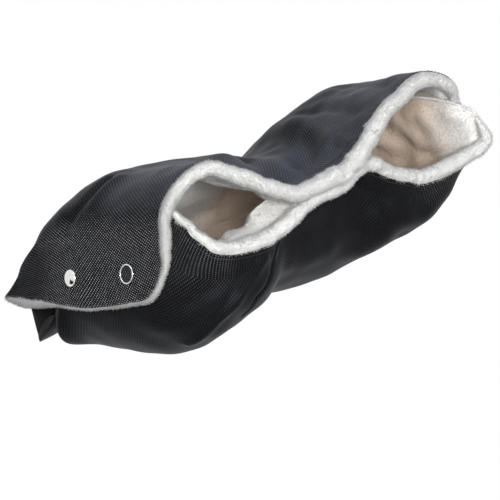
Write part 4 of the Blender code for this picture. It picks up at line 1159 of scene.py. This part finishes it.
# %% [markdown]
# ## The closure tapes
# A hook tape under the upper edge grips a loop tape on the lower one, between the hand openings. Each is a thin woven
# strip with short stiff hooks or soft loops on it, which the pile tree grows too, with other sizes.

# %% Hook and loop tapes
TAPE_HALF_WIDTH, TAPE_THICKNESS, TAPE_START = 22 * MM, 0.8 * MM, 0.012
# Each tape's kind, half of the muff, last row and look, and its nap's thickness, lean and count per square metre.
TAPES = (
    ("hook", "upper", upper_surface, 1, 0.078, hook_look, 0.16 * MM, 0.3, 1500000.0),
    ("loop", "lower", lower_surface, -1, 0.082, loop_look, 0.2 * MM, 1.2, 2500000.0),
)
for kind, part, rule, up, last_row, finish, thickness, lean, density in TAPES:
    half = TAPE_HALF_WIDTH / (-LEFT["body"] * HALF_LENGTH)
    patch = lay_grid(rule, up, np.linspace(-half, half, 40), np.linspace(TAPE_START, last_row, 16))
    ones = np.ones(patch["row"].shape)
    patch.update(warmth=0 * ones, faced=0 * ones, heave=0 * patch["place"])
    top, bottom = ones * -(SHEET + LAYER_GAP), ones * (-(SHEET + LAYER_GAP) - TAPE_THICKNESS)
    tape = layer_piece(f"{kind}_tape", patch, ones > 0, top, bottom, finish, "tape")
    face = inner_face(patch, ones > 0, bottom, f"{kind}_tape_face", ones)
    sizes = dict(Fibres_per_square_metre=density, Length=0.6 * MM, Thickness=thickness, Lean=lean, Seed=71)
    nap = grow(face, pile_tree(f"{kind}_tape nap", finish), **sizes, Keep_base=False)
    shape = bmesh.new()
    shape.from_mesh(tape.data)
    shape.from_mesh(nap)
    shape.to_mesh(tape.data)
    shape.free()
    bpy.data.objects.remove(face)
    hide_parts(f"{kind}_patch")
    carry(tape, part)
    print(tape.name, len(tape.data.polygons), "faces")

# %% [markdown]
# ## Press studs
# Each press stud is five turned metal pieces: a cap on the outside, a socket with a wire spring behind the flap, and
# a stud with its post on the tab. A turned piece is a profile spun about its axis. Here each profile is given as
# radius and height, rounded at its corners, and spun in 64 steps. Two caps at each end differ: the front one is a
# thin ring round the cloth, the rear one a dome.

# %% Turned pieces
def rounded(profile, radius, corners=4):
    """Cuts each inner corner of a profile into a short arc, which takes less than half of either side."""
    points = np.array(profile, float)
    made = [points[0]]
    for before, here, after in zip(points[:-2], points[1:-1], points[2:]):
        spans = [np.linalg.norm(other - here) for other in (before, after)]
        room = min(radius, spans[0] * 0.45, spans[1] * 0.45)
        start, end = (here + (other - here) / max(span, 1e-9) * room for other, span in zip((before, after), spans))
        for t in np.arange(corners + 1) / corners:
            made.append(start * (1 - t) ** 2 + 2 * here * t * (1 - t) + end * t * t)
    return np.array(made + [points[-1]])


def turned_piece(name, node, profile, axes, finish, slot, cloth_within, steps=64):
    """cloth_within is the radius inside which the outer face is covered with nylon."""
    foot, side, top, out = axes
    shape = bmesh.new()
    turns = [math.tau * k / steps for k in range(steps)]
    rings = []
    for radius, height in profile:
        spokes = [(side * math.cos(t) + top * math.sin(t)) * radius for t in turns] if radius >= 1e-7 else [0.0]
        rings.append([shape.verts.new(foot + out * height + spoke) for spoke in spokes])
    closed = [(rings[-1], rings[0])] if profile[0][0] > 0 else []
    for first, second in list(zip(rings, rings[1:])) + closed:
        if len(first) + len(second) == 2:
            continue
        for k in range(steps):
            l = (k + 1) % steps
            corners = (first[k % len(first)], second[k % len(second)], second[l % len(second)], first[l % len(first)])
            shape.faces.new(tuple(dict.fromkeys(corners)))
    bmesh.ops.recalc_face_normals(shape, faces=shape.faces)
    mesh = bpy.data.meshes.new(name)
    shape.to_mesh(mesh)
    shape.free()
    mesh.shade_smooth()
    mesh.set_sharp_from_angle(angle=math.radians(50))
    mesh.materials.append(finish)
    if cloth_within:
        mesh.materials.append(nylon)
        # The cloth inside a ring cap gets some painted glint and some painted sky sheen.
        set_values(mesh, glint=0.35, faded=0.35)
        corners = np.array([mesh.vertices[loop.vertex_index].co - Vector(foot) for loop in mesh.loops])
        cloth = np.stack([corners @ side, corners @ top], axis=1)
        mesh.uv_layers.new(name="cloth").data.foreach_set("uv", cloth.ravel())
        for face in mesh.polygons:
            off = np.array(face.center) - foot
            face.material_index = int(np.hypot(off @ side, off @ top) < cloth_within and off @ out > 0)
    made = in_scene(name, mesh)
    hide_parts(node)
    return made


DOME, RING, RING_WALL, RISE, RIM, SEAT = 8.3 * MM, 9.4 * MM, 0.75 * MM, 2.6 * MM, 0.5 * MM, 0.4 * MM
RIVET, SOCKET, SOCKET_HEIGHT, WALL = 2.1 * MM, 6.2 * MM, 3.8 * MM, 0.7 * MM
STUD, NECK, STUD_HEIGHT, FLANGE, FLANGE_THICK = 2.9 * MM, 2.4 * MM, 2.4 * MM, 6.0 * MM, 0.8 * MM
STEM_END, CLOTH_FACE = -SHEET - SEAT + LAYER_GAP, SEAT + 0.3 * MM


def skirt(radius):
    """A cap's side, drawn in a little under its edge, and the stem through the sheet."""
    return [(radius, SEAT + RIM * 0.6), (radius * 0.97, SEAT), (RIVET, SEAT), (RIVET, STEM_END), (0.0, STEM_END)]


arc = [t * math.pi / 2 for t in np.linspace(0, 1, 12)[:-1]]
dome = [(DOME * math.sin(t), SEAT + RIM + RISE * math.cos(t)) for t in arc] + skirt(DOME)
ring = [(0.0, CLOTH_FACE), (RING - 2 * RING_WALL, CLOTH_FACE)]
for t in np.linspace(math.pi, 0, 9):
    ring.append((RING - RING_WALL + RING_WALL * math.cos(t), SEAT + 0.8 * MM + RING_WALL * math.sin(t)))
ring += skirt(RING)
roof, mouth, bore = -SHEET - SEAT, -SHEET - SEAT - SOCKET_HEIGHT, STUD + 0.4 * MM
socket = [
    (0.0, roof), (SOCKET, roof), (SOCKET, mouth), (bore, mouth), (bore, mouth + WALL),
    (SOCKET - WALL, mouth + WALL), (SOCKET - WALL, roof - WALL), (0.0, roof - WALL),
]
wire, wire_middle = 0.4 * MM, roof - SOCKET_HEIGHT / 2
round_wire = np.linspace(0, -math.tau, 12, endpoint=False)
spring = [(bore + wire + wire * math.cos(t), wire_middle + wire * math.sin(t)) for t in round_wire]
seat = -TAB_DEPTH + SEAT
flange, head = seat + FLANGE_THICK, seat + FLANGE_THICK + STUD_HEIGHT
stud = [
    (0.0, head), (STUD * 0.7, head), (STUD, head - STUD_HEIGHT * 0.25), (NECK, head - STUD_HEIGHT * 0.6),
    (NECK, flange), (FLANGE, flange), (FLANGE, seat), (0.0, seat),
]
back_seat = -TAB_DEPTH - SHEET - SEAT
post = [
    (0.0, seat - LAYER_GAP), (RIVET, seat - LAYER_GAP), (RIVET, back_seat), (FLANGE, back_seat),
    (FLANGE, back_seat - FLANGE_THICK), (0.0, back_seat - FLANGE_THICK),
]
print("dome", round(2 * DOME / MM, 1), "mm across, ring", round(2 * RING / MM, 1))

# %% Four press studs, on the flaps and their tabs
CAPS = (("front", ring, RING - 2 * RING_WALL + 0.05 * MM), ("rear", dome, 0.0))
for side, end in ENDS.items():
    for number, (place, cap, cloth_within) in enumerate(CAPS):
        pieces = (
            ("cap", rounded(cap, 0.12 * MM, corners=2), polished, "polished_nickel", f"{side}_flap"),
            ("socket", rounded(socket, 0.3 * MM), plain_nickel, "plain_nickel", f"{side}_flap"),
            ("spring", spring, spring_steel, "spring_steel", f"{side}_flap"),
            ("stud", rounded(stud, 0.4 * MM), plain_nickel, "plain_nickel", "lower_half"),
            ("post", rounded(post, 0.3 * MM), plain_nickel, "plain_nickel", "lower_half"),
        )
        for title, profile, finish, slot, body in pieces:
            names = f"{side}_{place}_{title}", f"{side}_{place}_snap_{title}"
            cloth = cloth_within if title == "cap" else 0.0
            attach(turned_piece(*names, profile, snap_axes(end, number), finish, slot, cloth), body)
print("20 turned pieces")

# %% [markdown]
# ## Stitches
# A row of stitches is one short thread shape repeated at a fixed step along a line, so Geometry Nodes place it: the
# line is cut into equal steps, and each step gets a stitch turned along it. The rows follow addresses on the cloth,
# a little above it.

# %% The node tree that sews
def stitch_tree(name, finish):
    tree, sizes, given = start_tree(name, {"Step": 3 * MM, "Length": 1.1 * MM, "Thickness": 0.28 * MM})
    line = add_node(tree, "GeometryNodeMeshToCurve", {"Mesh": given["Geometry"]}).outputs[0]
    sockets = {"Curve": line, "Length": given["Step"]}
    steps = add_node(tree, "GeometryNodeCurveToPoints", sockets, mode="LENGTH").outputs
    sockets = {"Segments": 6, "Rings": 4, "Radius": 1.0}
    bead = add_node(tree, "GeometryNodeMeshUVSphere", sockets).outputs["Mesh"]
    sockets = {0: given["Thickness"], 1: given["Thickness"], 2: given["Length"]}
    size = add_node(tree, "ShaderNodeCombineXYZ", sockets).outputs[0]
    finish_tree(tree, place_shape(tree, steps["Points"], steps["Tangent"], bead, size), finish)
    return tree, sizes


sewing = stitch_tree("thread stitches", thread)


def sew(name, onto, part, lines, step=3.2 * MM, lift=0.12 * MM, **values):
    """Stitches on the shell's outer face along lines of addresses. They go with the sheet that they are sewn onto."""
    points, edges = [], []
    for line in lines:
        places = on_cloth(PARTS[part][0], *along_line(line, count=60 * len(line)), lift)[0]
        first = len(points)
        points += places.tolist()
        edges += [(first + k, first + k + 1) for k in range(len(places) - 1)]
    made = in_scene(name, new_mesh(name, points, [], edges))
    made.data = grow(made, sewing, Step=step, **values)
    carry(made, part)
    with_pieces.setdefault(onto, []).append(made)
    print(name, len(made.data.polygons), "faces")


fold_row = [(-1.95, 0.965), (1.95, 0.965)]
dart_row = [(-0.55, 0.03), (-0.62, 0.083), (-0.77, 0.15), (-0.88, 0.183), (-0.93, 0.26)]
sew("upper_stitches", "upper_nylon", "upper", [[(-1.72, 0.022), (1.72, 0.022)], fold_row])
rim_sizes = dict(step=5.0 * MM, Length=1.4 * MM, Thickness=0.7 * MM)
sew("right_rim_stitches", "rim", "right", [[(1.42, 0.004), (2.60, 0.004)]], **rim_sizes)
sew("lower_stitches", "lower_nylon", "lower", [[(-2.9, 0.020), (2.9, 0.020)], fold_row, dart_row])
flap_row = [(1.80, 0.022), (2.85, 0.030), (2.93, 0.06), (2.93, 0.35), (2.93, 0.7), (2.93, 0.97)]
for side, end in ENDS.items():
    stops = [(end["side"] * column, row) for column, row in flap_row]
    sew(f"{side}_flap_stitches", f"{side}_flap_nylon", side, [stops])
with_pieces["right_flap_nylon"] += with_pieces["rim"]

# %% [markdown]
# ## Sizes of the soft pieces
# For each finished piece of nylon and lining, the loop below reads the area that it was cut to and the span of its
# cloth map, from the cloth's own lengths along its rows and columns. The values are not used further.

for part, title, piece in cloth_pieces:
    if title == "wadding":
        continue
    area, corners = piece["area"], piece.data.uv_layers["cloth"].data
    cloth = np.empty(len(corners) * 2)
    corners.foreach_get("uv", cloth)
    span = np.ptp(cloth.reshape(-1, 2), axis=0)

bpy.context.view_layer.update()
